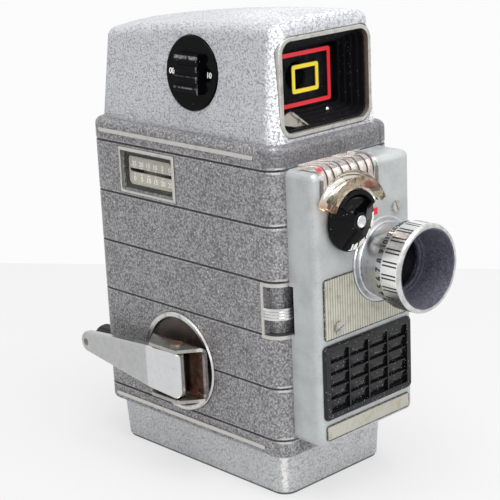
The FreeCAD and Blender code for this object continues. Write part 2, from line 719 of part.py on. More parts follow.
def base_casting():
    """Drafted foot casting, hollow from below, with the boss of the tripod bush."""
    def form(inset_top, inset_bottom, z0, z1, radius):
        low = outline_z(-HALF_WIDTH + inset_bottom, HALF_WIDTH - inset_bottom,
                        -HALF_LENGTH + inset_bottom, HALF_LENGTH - inset_bottom, radius, z0)
        high = outline_z(-HALF_WIDTH + inset_top, HALF_WIDTH - inset_top,
                         -HALF_LENGTH + inset_top, HALF_LENGTH - inset_top, radius, z1)
        return Part.makeLoft([low, high], True, True)

    outer = form(BASE_TOP_INSET, BASE_BOTTOM_INSET, BASE_PLATE_THICKNESS, BASE_HEIGHT,
                 BASE_CORNER_RADIUS)
    inner = form(BASE_TOP_INSET + BASE_WALL, BASE_BOTTOM_INSET + BASE_WALL,
                 BASE_PLATE_THICKNESS - THROUGH, BASE_HEIGHT - BASE_WALL,
                 BASE_CORNER_RADIUS - BASE_WALL)
    boss = rod_z(TRIPOD_BUSH_RADIUS + 2.5, BASE_PLATE_THICKNESS, BASE_HEIGHT, 0, 0)
    shape = outer.cut(inner).fuse(boss)
    for x, y in base_screw_places():
        post = rod_z(3.0, BASE_PLATE_THICKNESS, BASE_HEIGHT, x, y)
        shape = shape.fuse(post)
    shape = shape.cut(rod_z(TRIPOD_BUSH_RADIUS + SEAT, -THROUGH, TRIPOD_BUSH_HEIGHT + SEAT, 0, 0))
    for x, y in base_screw_places():
        shape = shape.cut(rod_z(1.3, -THROUGH, 7.0, x, y))
    return shape.removeSplitter()


def base_screw_places():
    x = HALF_WIDTH - BASE_BOTTOM_INSET - BASE_WALL - 2.4
    y = HALF_LENGTH - BASE_BOTTOM_INSET - BASE_WALL - 2.4
    return ((x, y), (-x, y), (x, -y), (-x, -y))


def base_plate():
    """Dark sheet that closes the base, flat for the table."""
    inset = BASE_BOTTOM_INSET + BASE_PLATE_INSET
    shape = slab_z(-HALF_WIDTH + inset, HALF_WIDTH - inset, -HALF_LENGTH + inset,
                   HALF_LENGTH - inset, BASE_CORNER_RADIUS - BASE_PLATE_INSET,
                   0, BASE_PLATE_THICKNESS)
    shape = shape.cut(rod_z(TRIPOD_BUSH_RADIUS + SEAT, -THROUGH, 2, 0, 0))
    for x, y in base_screw_places():
        shape = shape.cut(Part.makeCone(2.6, 1.3, BASE_PLATE_THICKNESS, vec(x, y, 0), vec(0, 0, 1)))
        shape = shape.cut(rod_z(1.3, -THROUGH, 2, x, y))
    return shape


def base_screws():
    """Countersunk screws that hold the base plate."""
    screws = []
    for x, y in base_screw_places():
        head = Part.makeCone(2.5, 1.2, BASE_PLATE_THICKNESS, vec(x, y, 0.05), vec(0, 0, 1))
        shank = rod_z(1.2, BASE_PLATE_THICKNESS, 6.5, x, y)
        slot = block(x - 3, x + 3, y - 0.3, y + 0.3, -0.1, 0.4)
        screws.append(head.fuse(shank).cut(slot))
    return Part.makeCompound(screws)


def tripod_bush():
    """Steel bush with the tripod thread."""
    shape = rod_z(TRIPOD_BUSH_RADIUS, 0, TRIPOD_BUSH_HEIGHT, 0, 0)
    return shape.cut(rod_z(TRIPOD_THREAD_RADIUS, -THROUGH, TRIPOD_THREAD_DEPTH, 0, 0))


def housing_block(inset, z0, drop):
    """Drafted and crowned form of the finder housing, drawn in by a wall."""
    top = 60.0
    slope_x = math.tan(math.radians(HOUSING_SIDE_SLOPE))
    slope_y = math.tan(math.radians(HOUSING_REAR_SLOPE))
    radius = HOUSING_CORNER_RADIUS - inset

    def outline(rise):
        half = HOUSING_HALF_WIDTH - inset - rise * slope_x
        return outline_z(-half, half, HOUSING_FRONT_Y + inset,
                         HOUSING_REAR_Y - inset - rise * slope_y, radius, BODY_TOP + rise)

    body = Part.makeLoft([outline(z0 - BODY_TOP), outline(top)], True, True)
    sections = []
    middle = (HOUSING_FRONT_Y + HOUSING_REAR_Y) / 2
    reach = 8.0
    for y, rise in ((HOUSING_REAR_Y + reach, HOUSING_REAR_HEIGHT - 0.9),
                    (middle, HOUSING_MIDDLE_HEIGHT),
                    (HOUSING_FRONT_Y - reach, HOUSING_FRONT_HEIGHT)):
        sections.append(crown_section(y, BODY_TOP + rise - drop, z0))
    crown = Part.makeLoft(sections, True, False)
    return body.common(crown)


def crown_section(y, crest, z0):
    """Upright section of the housing's top: straight sides under a shallow arc."""
    half = HOUSING_HALF_WIDTH + 6.0
    sag = HOUSING_CROWN * (half / HOUSING_HALF_WIDTH) ** 2
    left = vec(-half, y, crest - sag)
    right = vec(half, y, crest - sag)
    arc = Part.Arc(left, vec(0, y, crest), right).toShape()
    lines = [Part.makeLine(right, vec(half, y, z0 - 1)),
             Part.makeLine(vec(half, y, z0 - 1), vec(-half, y, z0 - 1)),
             Part.makeLine(vec(-half, y, z0 - 1), left)]
    return Part.Wire([arc] + lines)


def top_housing():
    """Cast finder housing, open at the front for the window and below."""
    outer = housing_block(0.0, BODY_TOP, 0.0)
    rim = [e for e in outer.Edges if e.BoundBox.ZMin > BODY_TOP + 20
           and e.BoundBox.ZLength < 14]
    outer = outer.makeFillet(HOUSING_TOP_ROUNDING, rim)
    inner = housing_block(HOUSING_WALL, BODY_TOP - THROUGH, HOUSING_WALL)
    shape = outer.cut(inner)
    shape = shape.cut(window_slab(WINDOW_BEZEL_WIDTH + SEAT, HOUSING_FRONT_Y - THROUGH,
                                  HOUSING_FRONT_Y + HOUSING_WALL + THROUGH))
    centre, normal = speed_dial_axis()
    seat = Part.makeCylinder(SPEED_DIAL_RADIUS + 0.25, 3.0, centre - normal * 0.9, normal)
    stem = Part.makeCylinder(2.0 + RUNNING, 8.0, centre - normal * 5.0, normal)
    shape = shape.cut(seat).cut(stem)
    shape = shape.cut(rod_y(EYEPIECE_RADIUS - 1.5, HOUSING_REAR_Y - 12, HOUSING_REAR_Y + 5,
                            0, WINDOW_Z))
    return shape


def window_slab(grow, y0, y1, shrink=0.0):
    """Rounded opening of the finder window, grown or drawn in on all sides."""
    side = grow - shrink
    return slab_y(-WINDOW_WIDTH / 2 - side, WINDOW_WIDTH / 2 + side,
                  WINDOW_Z - WINDOW_HEIGHT / 2 - side, WINDOW_Z + WINDOW_HEIGHT / 2 + side,
                  max(WINDOW_CORNER_RADIUS + side, 0.8), y0, y1)


def finder_bezel():
    """Bright frame of the finder window."""
    y0 = WINDOW_Y
    y1 = WINDOW_Y + WINDOW_BEZEL_DEPTH
    ring = window_slab(WINDOW_BEZEL_WIDTH, y0, y1)
    front = [e for e in ring.Edges if abs(e.BoundBox.YMax - y0) < 1e-6]
    ring = ring.makeFillet(0.5, front)
    return ring.cut(window_slab(0.0, y0 - 1, y1 + 1))


def finder_baffle():
    """Black stepped hood behind the window, closed at the back by its rear wall."""
    y = WINDOW_Y + WINDOW_BEZEL_DEPTH
    outer = window_slab(-0.15, y, baffle_back())
    shape = outer
    for step in range(BAFFLE_STEPS):
        inset = BAFFLE_FIRST_INSET + step * BAFFLE_STEP_INSET
        shape = shape.cut(window_slab(0.0, y - 1 + step * BAFFLE_STEP_DEPTH,
                                      y + (step + 1) * BAFFLE_STEP_DEPTH, inset))
    shape = shape.cut(window_slab(0.0, y, baffle_back() - BAFFLE_WALL,
                                  BAFFLE_FIRST_INSET + BAFFLE_STEPS * BAFFLE_STEP_INSET))
    shape = shape.cut(rod_y(EYEPIECE_LENS_RADIUS, baffle_back() - 2, baffle_back() + 1,
                            0, WINDOW_Z))
    return shape


def baffle_back():
    return frame_glass_y() + FRAME_GLASS_THICKNESS + 4.0


def frame_glass_y():
    """Front face of the glass that carries the finder frames."""
    return WINDOW_Y + WINDOW_BEZEL_DEPTH + BAFFLE_STEPS * BAFFLE_STEP_DEPTH + 0.3


def finder_glass():
    """Glass plate behind the baffle's last step."""
    y = frame_glass_y()
    shrink = BAFFLE_FIRST_INSET + BAFFLE_STEPS * BAFFLE_STEP_INSET + SEAT
    return window_slab(0.0, y, y + FRAME_GLASS_THICKNESS, shrink)


def finder_frame(width, height):
    """Printed field frame as a thin line on the glass."""
    y1 = frame_glass_y() - 0.02
    y0 = y1 - FRAME_LINE_THICKNESS
    z = WINDOW_Z
    outer = slab_y(-width / 2, width / 2, z - height / 2, z + height / 2, 0.9, y0, y1)
    inner_w = width / 2 - FRAME_LINE
    inner_h = height / 2 - FRAME_LINE
    return outer.cut(block(-inner_w, inner_w, y0 - 1, y1 + 1, z - inner_h, z + inner_h))


def finder_clip():
    """Bright three-cornered clip in the lower corner of the baffle, its long edge turned up."""
    seat = BAFFLE_FIRST_INSET + SEAT
    x = -WINDOW_WIDTH / 2 + seat
    z = WINDOW_Z - WINDOW_HEIGHT / 2 + seat
    back = WINDOW_Y + WINDOW_BEZEL_DEPTH + BAFFLE_STEP_DEPTH
    front = back - CLIP_SHEET
    apex = (x + CLIP_WIDTH * 0.42, z + CLIP_HEIGHT)
    tip = (x + CLIP_WIDTH, z + 0.2)
    heel = (x + CLIP_WIDTH * 0.62, z)
    sheet = prism_y([(x, z + CLIP_HEIGHT * 0.4), heel, (tip[0] - 0.5, z), tip, apex,
                     (x, z + CLIP_HEIGHT * 0.7)], front, back)
    lip = prism_y([apex, tip, (tip[0] - CLIP_LIP, z + 0.2), (apex[0] - 0.2, apex[1] - CLIP_LIP)],
                  front - CLIP_LIP, front)
    return sheet.fuse(lip)


def eyepiece():
    """Black eyepiece ring let into the rear of the housing."""
    y0 = HOUSING_REAR_Y - 5.0
    y1 = HOUSING_REAR_Y + EYEPIECE_LENGTH - 2.0
    lip = EYEPIECE_RADIUS
    neck = EYEPIECE_RADIUS - 1.6
    bore = EYEPIECE_LENS_RADIUS
    seat_y = HOUSING_REAR_Y - (WINDOW_Z - BODY_TOP) * math.tan(math.radians(HOUSING_REAR_SLOPE))
    profile = [(bore, y0), (neck, y0), (neck, seat_y + 0.7), (lip, seat_y + 0.7), (lip, y1 - 0.8),
               (lip - 0.8, y1), (bore + 1.2, y1), (bore, y1 - 1.6)]
    return turned_y(profile, 0, WINDOW_Z)


def eyepiece_lens():
    """Small convex lens in the eyepiece."""
    y0 = HOUSING_REAR_Y - 4.0
    return rod_y(EYEPIECE_LENS_RADIUS - 0.02, y0, y0 + 1.8, 0, WINDOW_Z)


def front_panel():
    """Satin cover on the front, hollow behind, with its openings."""
    shape = block(-PANEL_HALF_WIDTH, PANEL_HALF_WIDTH, PANEL_FRONT, -HALF_LENGTH,
                  PANEL_BOTTOM, PANEL_TOP)
    rear = -HALF_LENGTH
    edges = [e for e in shape.Edges if e.BoundBox.YMin < rear - 0.5]
    shape = shape.makeFillet(PANEL_ROUNDING, edges)
    wall = PANEL_WALL
    inside = block(-PANEL_HALF_WIDTH + wall, PANEL_HALF_WIDTH - wall, PANEL_FRONT + wall,
                   rear + THROUGH, PANEL_BOTTOM + wall, PANEL_TOP - wall)
    shape = shape.cut(inside)
    shape = shape.cut(rod_y(LENS_TUBE_RADIUS + SEAT, PANEL_FRONT - 1, PANEL_FRONT + 3,
                            LENS_X, LENS_Z))
    low, high = cell_window_heights()
    inset = 1.6
    shape = shape.cut(block(-CELL_WINDOW_WIDTH / 2 + inset, CELL_WINDOW_WIDTH / 2 - inset,
                            PANEL_FRONT - 1, PANEL_FRONT + 3, low + inset, high - inset))
    shape = shape.cut(block(SCALE_LEFT + 1.6, SCALE_RIGHT - 1.6, PANEL_FRONT - 1,
                            -HALF_LENGTH - 2.4, SCALE_BOTTOM + 1.6, PANEL_TOP + 1))
    shape = shape.cut(rod_y(1.6 + RUNNING, PANEL_FRONT - 1, PANEL_FRONT + 3, DIAL_X, DIAL_Z))
    notch = STARTER_SLOT_HEIGHT / 2
    shape = shape.cut(block(-PANEL_HALF_WIDTH - 1, -PANEL_HALF_WIDTH + wall + 1,
                            rear - STARTER_NOTCH, rear + 1, STARTER_Z - notch, STARTER_Z + notch))
    for x, z in ((PANEL_SCREW_X, PANEL_SCREW_Z), (PLATE_SCREW_X, PLATE_SCREW_Z)):
        shape = shape.cut(rod_y(1.05, PANEL_FRONT - 1, PANEL_FRONT + 3, x, z))
    return shape


def cell_window_heights():
    low = PANEL_BOTTOM + CELL_WINDOW_RISE
    return low, low + CELL_WINDOW_HEIGHT


def cell_window():
    """Black moulded window of small lenses in front of the light cell."""
    low, high = cell_window_heights()
    half = CELL_WINDOW_WIDTH / 2
    front = PANEL_FRONT - CELL_WINDOW_PROUD
    shape = slab_y(-half, half, low, high, CELL_WINDOW_CORNER, front, PANEL_FRONT)
    rim = [e for e in shape.Edges if abs(e.BoundBox.YMax - front) < 1e-6]
    shape = shape.makeChamfer(0.5, rim)
    inset = 1.6 + SEAT
    shape = shape.fuse(block(-half + inset, half - inset, PANEL_FRONT - 0.1,
                             PANEL_FRONT + PANEL_WALL, low + inset, high - inset))
    middle = (low + high) / 2
    area_w = CELL_AREA_WIDTH / 2
    area_h = CELL_AREA_HEIGHT / 2
    floor = PANEL_FRONT + 0.2
    shape = shape.cut(block(-area_w, area_w, front - 1, floor, middle - area_h, middle + area_h))
    step_x = CELL_AREA_WIDTH / CELL_COLUMNS
    step_z = CELL_AREA_HEIGHT / CELL_ROWS
    pieces = [shape]
    for column in range(CELL_COLUMNS):
        for row in range(CELL_ROWS):
            pieces.append(cell_lens(-area_w + (column + 0.5) * step_x,
                                    middle - area_h + (row + 0.5) * step_z,
                                    step_x - CELL_BAR, step_z - CELL_BAR, floor))
    for column in range(1, CELL_COLUMNS):
        x = -area_w + column * step_x
        pieces.append(block(x - CELL_BAR / 2, x + CELL_BAR / 2, floor - 1.0, floor,
                            middle - area_h, middle + area_h))
    for row in range(1, CELL_ROWS):
        z = middle - area_h + row * step_z
        pieces.append(block(-area_w, area_w, floor - 0.8, floor, z - CELL_BAR / 2,
                            z + CELL_BAR / 2))
    shape = pieces[0].multiFuse(pieces[1:])
    return shape.removeSplitter()


def cell_lens(x, z, width, height, floor):
    """One cell: a hipped block, its ridge along the width."""
    w = width / 2
    h = height / 2
    ridge = w * 0.45
    y = floor - CELL_LENS_HEIGHT
    corners = [vec(x - w, floor, z - h), vec(x + w, floor, z - h), vec(x + w, floor, z + h),
               vec(x - w, floor, z + h), vec(x - ridge, y, z), vec(x + ridge, y, z)]
    faces = []
    for loop in ((0, 1, 2, 3), (0, 1, 5, 4), (1, 2, 5), (2, 3, 4, 5), (3, 0, 4)):
        points = [corners[i] for i in loop]
        faces.append(Part.Face(Part.makePolygon(points + [points[0]])))
    return Part.makeSolid(Part.makeShell(faces))


def upper_plate():
    """Striped plate between the lens and the cell window, bare, cut round by the lens flange."""
    low = PANEL_BOTTOM + UPPER_PLATE_BOTTOM
    half = UPPER_PLATE_WIDTH / 2
    y0 = PANEL_FRONT - PLATE_THICKNESS
    shape = slab_y(-half, half, low, low + UPPER_PLATE_HEIGHT, UPPER_PLATE_CORNER, y0, PANEL_FRONT)
    shape = shape.cut(rod_y(LENS_FLANGE_RADIUS + 0.3, y0 - 1, PANEL_FRONT + 1, LENS_X, LENS_Z))
    shape = shape.cut(rod_y(1.05, y0 - 1, PANEL_FRONT + 1, PLATE_SCREW_X, PLATE_SCREW_Z))
    return max(shape.Solids, key=lambda solid: solid.Volume)


def lower_plate():
    """Narrow bare plate under the cell window."""
    low = PANEL_BOTTOM + LOWER_PLATE_BOTTOM
    half = LOWER_PLATE_WIDTH / 2
    return slab_y(-half, half, low, low + LOWER_PLATE_HEIGHT, LOWER_PLATE_CORNER,
                  PANEL_FRONT - PLATE_THICKNESS, PANEL_FRONT)


def front_screws():
    """Slotted screws in the panel and in the upper plate."""
    screws = []
    for x, z, seat, radius, turn in (
            (PANEL_SCREW_X, PANEL_SCREW_Z, PANEL_FRONT, PANEL_SCREW_RADIUS, 65.0),
            (PLATE_SCREW_X, PLATE_SCREW_Z, PANEL_FRONT - PLATE_THICKNESS, 2.0, -20.0)):
        head = rod_y(radius, seat - 0.9, seat, x, z)
        shank = rod_y(1.0, seat, PANEL_FRONT + 4.0, x, z)
        slot = block(x - 3, x + 3, seat - 1.5, seat - 0.45, z - 0.28, z + 0.28)
        slot.rotate(vec(x, 0, z), vec(0, 1, 0), turn)
        screws.append(head.fuse(shank).cut(slot))
    return Part.makeCompound(screws)


def lens_flange():
    """Dished trim ring round the lens."""
    y = PANEL_FRONT
    front = y - LENS_FLANGE_THICKNESS
    bore = LENS_BARREL_REAR_RADIUS + SEAT
    profile = [(bore, y), (LENS_FLANGE_RADIUS, y), (LENS_FLANGE_RADIUS, front + 0.3),
               (LENS_FLANGE_RADIUS - 0.4, front), (LENS_COLLAR_RADIUS, front + 0.25),
               (LENS_COLLAR_RADIUS, front - 0.5), (LENS_COLLAR_RADIUS - 0.35, front - 0.8),
               (bore, front - 0.8)]
    return turned_y(profile, LENS_X, LENS_Z)


def lens_ring_rear():
    """Rear edge of the ribbed ring."""
    return PANEL_FRONT - LENS_BARREL_LENGTH


def lens_front():
    """Front rim of the lens."""
    return lens_ring_rear() - LENS_RING_LENGTH - 0.6


def lens_barrel():
    """Barrel that flares forward, with its tube into the casing and the seat of the ring."""
    y = PANEL_FRONT
    rear = -HALF_LENGTH + 0.2
    ring = lens_ring_rear()
    seat = LENS_RING_RADIUS - LENS_RING_WALL
    glass = lens_front() + LENS_CONE_DEPTH
    profile = [(LENS_REAR_GLASS_RADIUS, rear), (LENS_TUBE_RADIUS, rear), (LENS_TUBE_RADIUS, y),
               (LENS_BARREL_REAR_RADIUS, y), (LENS_BARREL_REAR_RADIUS, y - 1.4),
               (LENS_BARREL_FRONT_RADIUS - 0.25, ring + 2.4),
               (LENS_BARREL_FRONT_RADIUS, ring + 2.2), (LENS_BARREL_FRONT_RADIUS, ring + 0.1),
               (seat, ring + 0.1), (seat, lens_front() + 1.0),
               (LENS_MOUTH_RADIUS - 0.3, lens_front() + 1.0),
               (LENS_CONE_RADIUS + 0.5, glass), (LENS_CONE_RADIUS + 0.5, glass + 0.4),
               (LENS_FRONT_GLASS_RADIUS, glass + 0.4), (LENS_FRONT_GLASS_RADIUS, glass + 4.6),
               (LENS_REAR_GLASS_RADIUS, glass + 4.6)]
    return turned_y(profile, LENS_X, LENS_Z)


def lens_ring():
    """Ring round the lens mouth, ribbed by pairs of shallow grooves."""
    rear = lens_ring_rear()
    front = lens_front()
    bore = LENS_RING_RADIUS - LENS_RING_WALL + 0.03
    profile = [(bore, rear), (LENS_RING_RADIUS - 0.3, rear), (LENS_RING_RADIUS, rear - 0.3),
               (LENS_RING_RADIUS, front + 0.7), (LENS_RING_RADIUS - 0.5, front),
               (LENS_MOUTH_RADIUS, front), (LENS_MOUTH_RADIUS, front + 0.75), (bore, front + 0.75)]
    ring = turned_y(profile, LENS_X, LENS_Z)
    cutters = []
    reach = LENS_RING_RADIUS - LENS_RING_GROOVE_DEPTH
    for pair in range(LENS_RING_GROOVE_PAIRS):
        middle = 360.0 * pair / LENS_RING_GROOVE_PAIRS
        for turn in (-2.4, 2.4):
            tool = block(LENS_X + reach, LENS_X + reach + 2, front + 1.0, rear - 0.7,
                         LENS_Z - LENS_RING_GROOVE_WIDTH / 2, LENS_Z + LENS_RING_GROOVE_WIDTH / 2)
            tool.rotate(vec(LENS_X, 0, LENS_Z), vec(0, 1, 0), middle + turn)
            cutters.append(tool)
    return ring.cut(Part.makeCompound(cutters))


def lens_hood_cone():
    """Black light trap that narrows from the mouth to the front glass."""
    front = lens_front() + 0.15
    back = lens_front() + LENS_CONE_DEPTH
    mouth = LENS_MOUTH_RADIUS - 0.05
    neck = LENS_CONE_RADIUS
    wall = 0.4
    profile = [(mouth - wall, front), (mouth, front), (mouth, front + 0.5),
               (mouth - 0.35, front + 0.9), (neck + wall, back),
               (LENS_FRONT_GLASS_RADIUS - 0.4, back), (LENS_FRONT_GLASS_RADIUS - 0.4, back - 0.7),
               (neck - 0.9, back - 0.7), (neck - 0.9, back - 1.3), (neck, back - 1.3)]
    return turned_y(profile, LENS_X, LENS_Z)


def lens_front_glass():
    """Front element, a thin convex lens."""
    rear = lens_front() + LENS_CONE_DEPTH + 1.6
    radius = LENS_FRONT_GLASS_RADIUS - 0.03
    return dome_y(radius, 1.5, rear, 1.1, LENS_X, LENS_Z)


def dome_y(radius, bulge, rear, edge, x, z):
    """Glass with a flat rear face and a domed front, along -Y."""
    sphere_radius = (radius ** 2 + bulge ** 2) / (2 * bulge)
    top = vec(x, rear - edge - bulge, z)
    mid_r = radius * 0.5
    mid_y = rear - edge - bulge + sphere_radius - math.sqrt(sphere_radius ** 2 - mid_r ** 2)
    arc = Part.Arc(top, vec(x + mid_r, mid_y, z), vec(x + radius, rear - edge, z)).toShape()
    lines = [Part.makeLine(vec(x + radius, rear - edge, z), vec(x + radius, rear, z)),
             Part.makeLine(vec(x + radius, rear, z), vec(x, rear, z)),
             Part.makeLine(vec(x, rear, z), top)]
    face = Part.Face(Part.Wire([arc] + lines))
    return face.revolve(vec(x, 0, z), vec(0, 1, 0), 360)


def exposure_scale_window():
    """Clear cover over the scale, wrapped over the panel's top front edge."""
    front = PANEL_FRONT - SCALE_PROUD_FRONT
    top = PANEL_TOP + SCALE_PROUD_TOP
    rear = front + SCALE_REACH
    outer = block(SCALE_LEFT, SCALE_RIGHT, front, rear, SCALE_BOTTOM, top)
    bend = edges_along(outer, vec(1, 0, 0), lambda c: c.y < front + 0.1 and c.z > top - 0.1)
    outer = outer.makeFillet(SCALE_ROUNDING, bend)
    inner = block(SCALE_LEFT - 1, SCALE_RIGHT + 1, PANEL_FRONT, rear + 1, SCALE_BOTTOM - 1,
                  PANEL_TOP)
    bend = edges_along(inner, vec(1, 0, 0),
                       lambda c: c.y < PANEL_FRONT + 0.1 and c.z > PANEL_TOP - 0.1)
    inner = inner.makeFillet(PANEL_ROUNDING, bend)
    return outer.cut(inner)


def exposure_dial():
    """Black cone-shaped dial with a raised finger lobe and its shaft."""
    back = PANEL_FRONT - DIAL_STAND_OFF
    rim = back - DIAL_RIM
    face = rim - DIAL_CONE_HEIGHT
    profile = [(0, PANEL_FRONT + 2.6), (1.6, PANEL_FRONT + 2.6), (1.6, back), (DIAL_RADIUS, back),
               (DIAL_RADIUS, rim + 0.2), (DIAL_RADIUS - 0.3, rim), (DIAL_HUB_RADIUS + 0.9, face),
               (0, face)]
    shape = turned_y(profile, DIAL_X, DIAL_Z)
    lobe = dial_lobe(rim, face)
    hub = rod_y(DIAL_HUB_RADIUS + 0.05, face - 1, face + 0.8, DIAL_X, DIAL_Z)
    return shape.fuse(lobe).cut(finger_scoop(rim, face)).cut(hub).removeSplitter()


def dial_lobe(rim, face):
    """Raised crescent of the dial, scooped out for the finger between two thin cheeks."""
    outer = DIAL_RADIUS - 0.3
    crest = rim - DIAL_LOBE_HEIGHT
    profile = [(0, rim + 0.1), (outer, rim + 0.1), (outer, crest + 0.4), (outer - 0.4, crest),
               (0, crest)]
    start = DIAL_LOBE_ANGLE - DIAL_LOBE_SPREAD / 2
    end = start + DIAL_LOBE_SPREAD
    crown = turned_y(profile, DIAL_X, DIAL_Z)
    return crown.common(wedge_y(start, end, 20.0, face - 2, rim + 0.2))


def finger_scoop(rim, face):
    """Hollow swept round the dial's axis between the lobe's rim and the hub, to be cut out."""
    crest = rim - DIAL_LOBE_HEIGHT
    neck = DIAL_HUB_RADIUS + 0.9
    brim = DIAL_RADIUS - 0.3 - DIAL_LOBE_RIM
    deepest = neck + 0.62 * (brim - neck)
    start = vec(DIAL_X + brim, crest - 0.4, DIAL_Z)
    low = vec(DIAL_X + deepest, rim - DIAL_SCOOP_FLOOR, DIAL_Z)
    end = vec(DIAL_X + neck, face + 0.1, DIAL_Z)
    front = face - 2.0
    corners = [end, vec(DIAL_X + neck, front, DIAL_Z), vec(DIAL_X + brim, front, DIAL_Z), start]
    lines = [Part.makeLine(a, b) for a, b in zip(corners, corners[1:])]
    section = Part.Face(Part.Wire([Part.Arc(start, low, end).toShape()] + lines))
    hollow = section.revolve(vec(DIAL_X, 0, DIAL_Z), vec(0, 1, 0), 360)
    cheek = math.degrees(DIAL_LOBE_CHEEK / brim)
    first = DIAL_LOBE_ANGLE - DIAL_LOBE_SPREAD / 2 + cheek
    return hollow.common(wedge_y(first, first + DIAL_LOBE_SPREAD - 2 * cheek, 20.0, front - 1, rim))


def dial_hub():
    """Bright hub screw of the exposure dial."""
    face = PANEL_FRONT - DIAL_STAND_OFF - DIAL_RIM - DIAL_CONE_HEIGHT
    hub = rod_y(DIAL_HUB_RADIUS, face - 0.7, face + 0.78, DIAL_X, DIAL_Z)
    edge = [e for e in hub.Edges if abs(e.BoundBox.YMax - (face - 0.7)) < 1e-6]
    return hub.makeFillet(0.3, edge)


def clear_sector():
    """Thick clear arch over the upper half of the dial, tapered forward and fluted in front."""
    back = PANEL_FRONT - SCALE_PROUD_FRONT - 0.02
    front = back - SECTOR_DEPTH
    profile = [(SECTOR_INNER_RADIUS, back), (SECTOR_OUTER_RADIUS, back),
               (SECTOR_OUTER_RADIUS, back - SECTOR_LAND),
               (SECTOR_FRONT_RADIUS + SECTOR_EDGE, front + 0.2), (SECTOR_FRONT_RADIUS, front),
               (SECTOR_INNER_RADIUS + SECTOR_EDGE, front),
               (SECTOR_INNER_RADIUS, front + SECTOR_EDGE)]
    ring = turned_y(profile, DIAL_X, DIAL_Z)
    plan = rod_y(SECTOR_OUTER_RADIUS, front, back, DIAL_X, DIAL_Z)
    plan = plan.cut(rod_y(SECTOR_INNER_RADIUS, front - 1, back + 1, DIAL_X, DIAL_Z))
    plan = plan.common(wedge_y(SECTOR_START, SECTOR_END, 30.0, front - 1, back + 1))
    plan = plan.makeFillet(SECTOR_END_ROUNDING, edges_along(plan, vec(0, 1, 0)))
    middle = (SECTOR_INNER_RADIUS + SECTOR_FRONT_RADIUS) / 2
    turn = math.degrees(SECTOR_END_ROUNDING / middle) * 1.6
    return ring.common(plan).cut(flute(middle, front, SECTOR_START + turn, SECTOR_END - turn))


def flute(middle, front, start, end):
    """Shallow round-bottomed groove about the dial's axis, from one angle to another."""
    y = front - SECTOR_FLUTE_RADIUS + SECTOR_FLUTE_DEPTH
    centre = vec(DIAL_X + middle, y, DIAL_Z)
    disc = Part.Face(Part.Wire(Part.makeCircle(SECTOR_FLUTE_RADIUS, centre, vec(0, 0, 1))))
    tube = disc.revolve(vec(DIAL_X, 0, DIAL_Z), vec(0, -1, 0), end - start)
    tube.rotate(vec(DIAL_X, 0, DIAL_Z), vec(0, -1, 0), start)
    return tube


def wedge_y(start, end, reach, y0, y1):
    """Fan of straight-edged space from one angle to another, about the dial."""
    points = [(DIAL_X, DIAL_Z)]
    steps = 8
    for index in range(steps + 1):
        angle = math.radians(start + (end - start) * index / steps)
        points.append((DIAL_X + reach * math.cos(angle), DIAL_Z + reach * math.sin(angle)))
    return prism_y(points, y0, y1)


def meter_movement():
    """Moving-coil movement behind the scale: a drum on its bracket."""
    y0 = PANEL_FRONT + PANEL_WALL + 3.0
    drum = rod_y(METER_RADIUS, y0, -HALF_LENGTH - 0.02, DIAL_X, DIAL_Z - 4.0)
    return drum.cut(rod_y(0.8 + RUNNING, y0 - 1, y0 + 3.0, DIAL_X, DIAL_Z - 4.0))


def meter_needle():
    """Needle that sweeps under the scale."""
    y0 = PANEL_FRONT + PANEL_WALL + 1.6
    z = DIAL_Z - 4.0
    arm = prism_y([(DIAL_X - 0.8, z), (DIAL_X + 0.8, z), (DIAL_X + 0.25, z + METER_NEEDLE_LENGTH),
                   (DIAL_X - 0.25, z + METER_NEEDLE_LENGTH)], y0, y0 + 0.4)
    return arm.fuse(rod_y(0.8, y0, y0 + 3.6, DIAL_X, z))


def speed_dial_axis():
    """Middle of the film-speed dial on the sloping housing side, and the outward direction."""
    slope = math.radians(HOUSING_SIDE_SLOPE)
    x = -HOUSING_HALF_WIDTH + (SPEED_DIAL_Z - BODY_TOP) * math.tan(slope)
    return vec(x, SPEED_DIAL_Y, SPEED_DIAL_Z), vec(-math.cos(slope), 0, math.sin(slope))


def speed_dial():
    """Glossy film-speed dial with a ridged grip, its stem and the washer inside."""
    disc = Part.makeCylinder(SPEED_DIAL_RADIUS, SPEED_DIAL_THICKNESS, vec(0, 0, -0.8))
    rim = [e for e in disc.Edges if e.BoundBox.ZMin > SPEED_DIAL_THICKNESS - 0.9]
    disc = disc.makeFillet(0.3, rim)
    half_l = SPEED_GRIP_LENGTH / 2
    half_w = SPEED_GRIP_WIDTH / 2
    top = SPEED_DIAL_THICKNESS - 0.8 + SPEED_GRIP_HEIGHT
    grip = block(-half_w, half_w, -half_l, half_l, 0, top - 0.7)
    ridge = SPEED_GRIP_LENGTH / SPEED_GRIP_RIDGES
    pieces = [disc, grip]
    for index in range(SPEED_GRIP_RIDGES):
        v = -half_l + (index + 0.5) * ridge
        bar = block(-half_w, half_w, v - ridge * 0.3, v + ridge * 0.3, 0, top)
        pieces.append(bar.makeFillet(0.3, edges_along(bar, vec(1, 0, 0), lambda c: c.z > 1)))
    pieces.append(Part.makeCylinder(2.0, 3.2, vec(0, 0, -3.4)))
    pieces.append(Part.makeCylinder(3.6, 0.8, vec(0, 0, -3.2)))
    shape = pieces[0].multiFuse(pieces[1:])
    window_start = half_w + SPEED_WINDOW_GAP
    window = block(window_start, window_start + SPEED_WINDOW_LENGTH, -SPEED_WINDOW_HEIGHT / 2,
                   SPEED_WINDOW_HEIGHT / 2, SPEED_DIAL_THICKNESS - 0.8 - SPEED_WINDOW_DEPTH, 5)
    shape = shape.cut(window).removeSplitter()
    return place_on_side(shape)


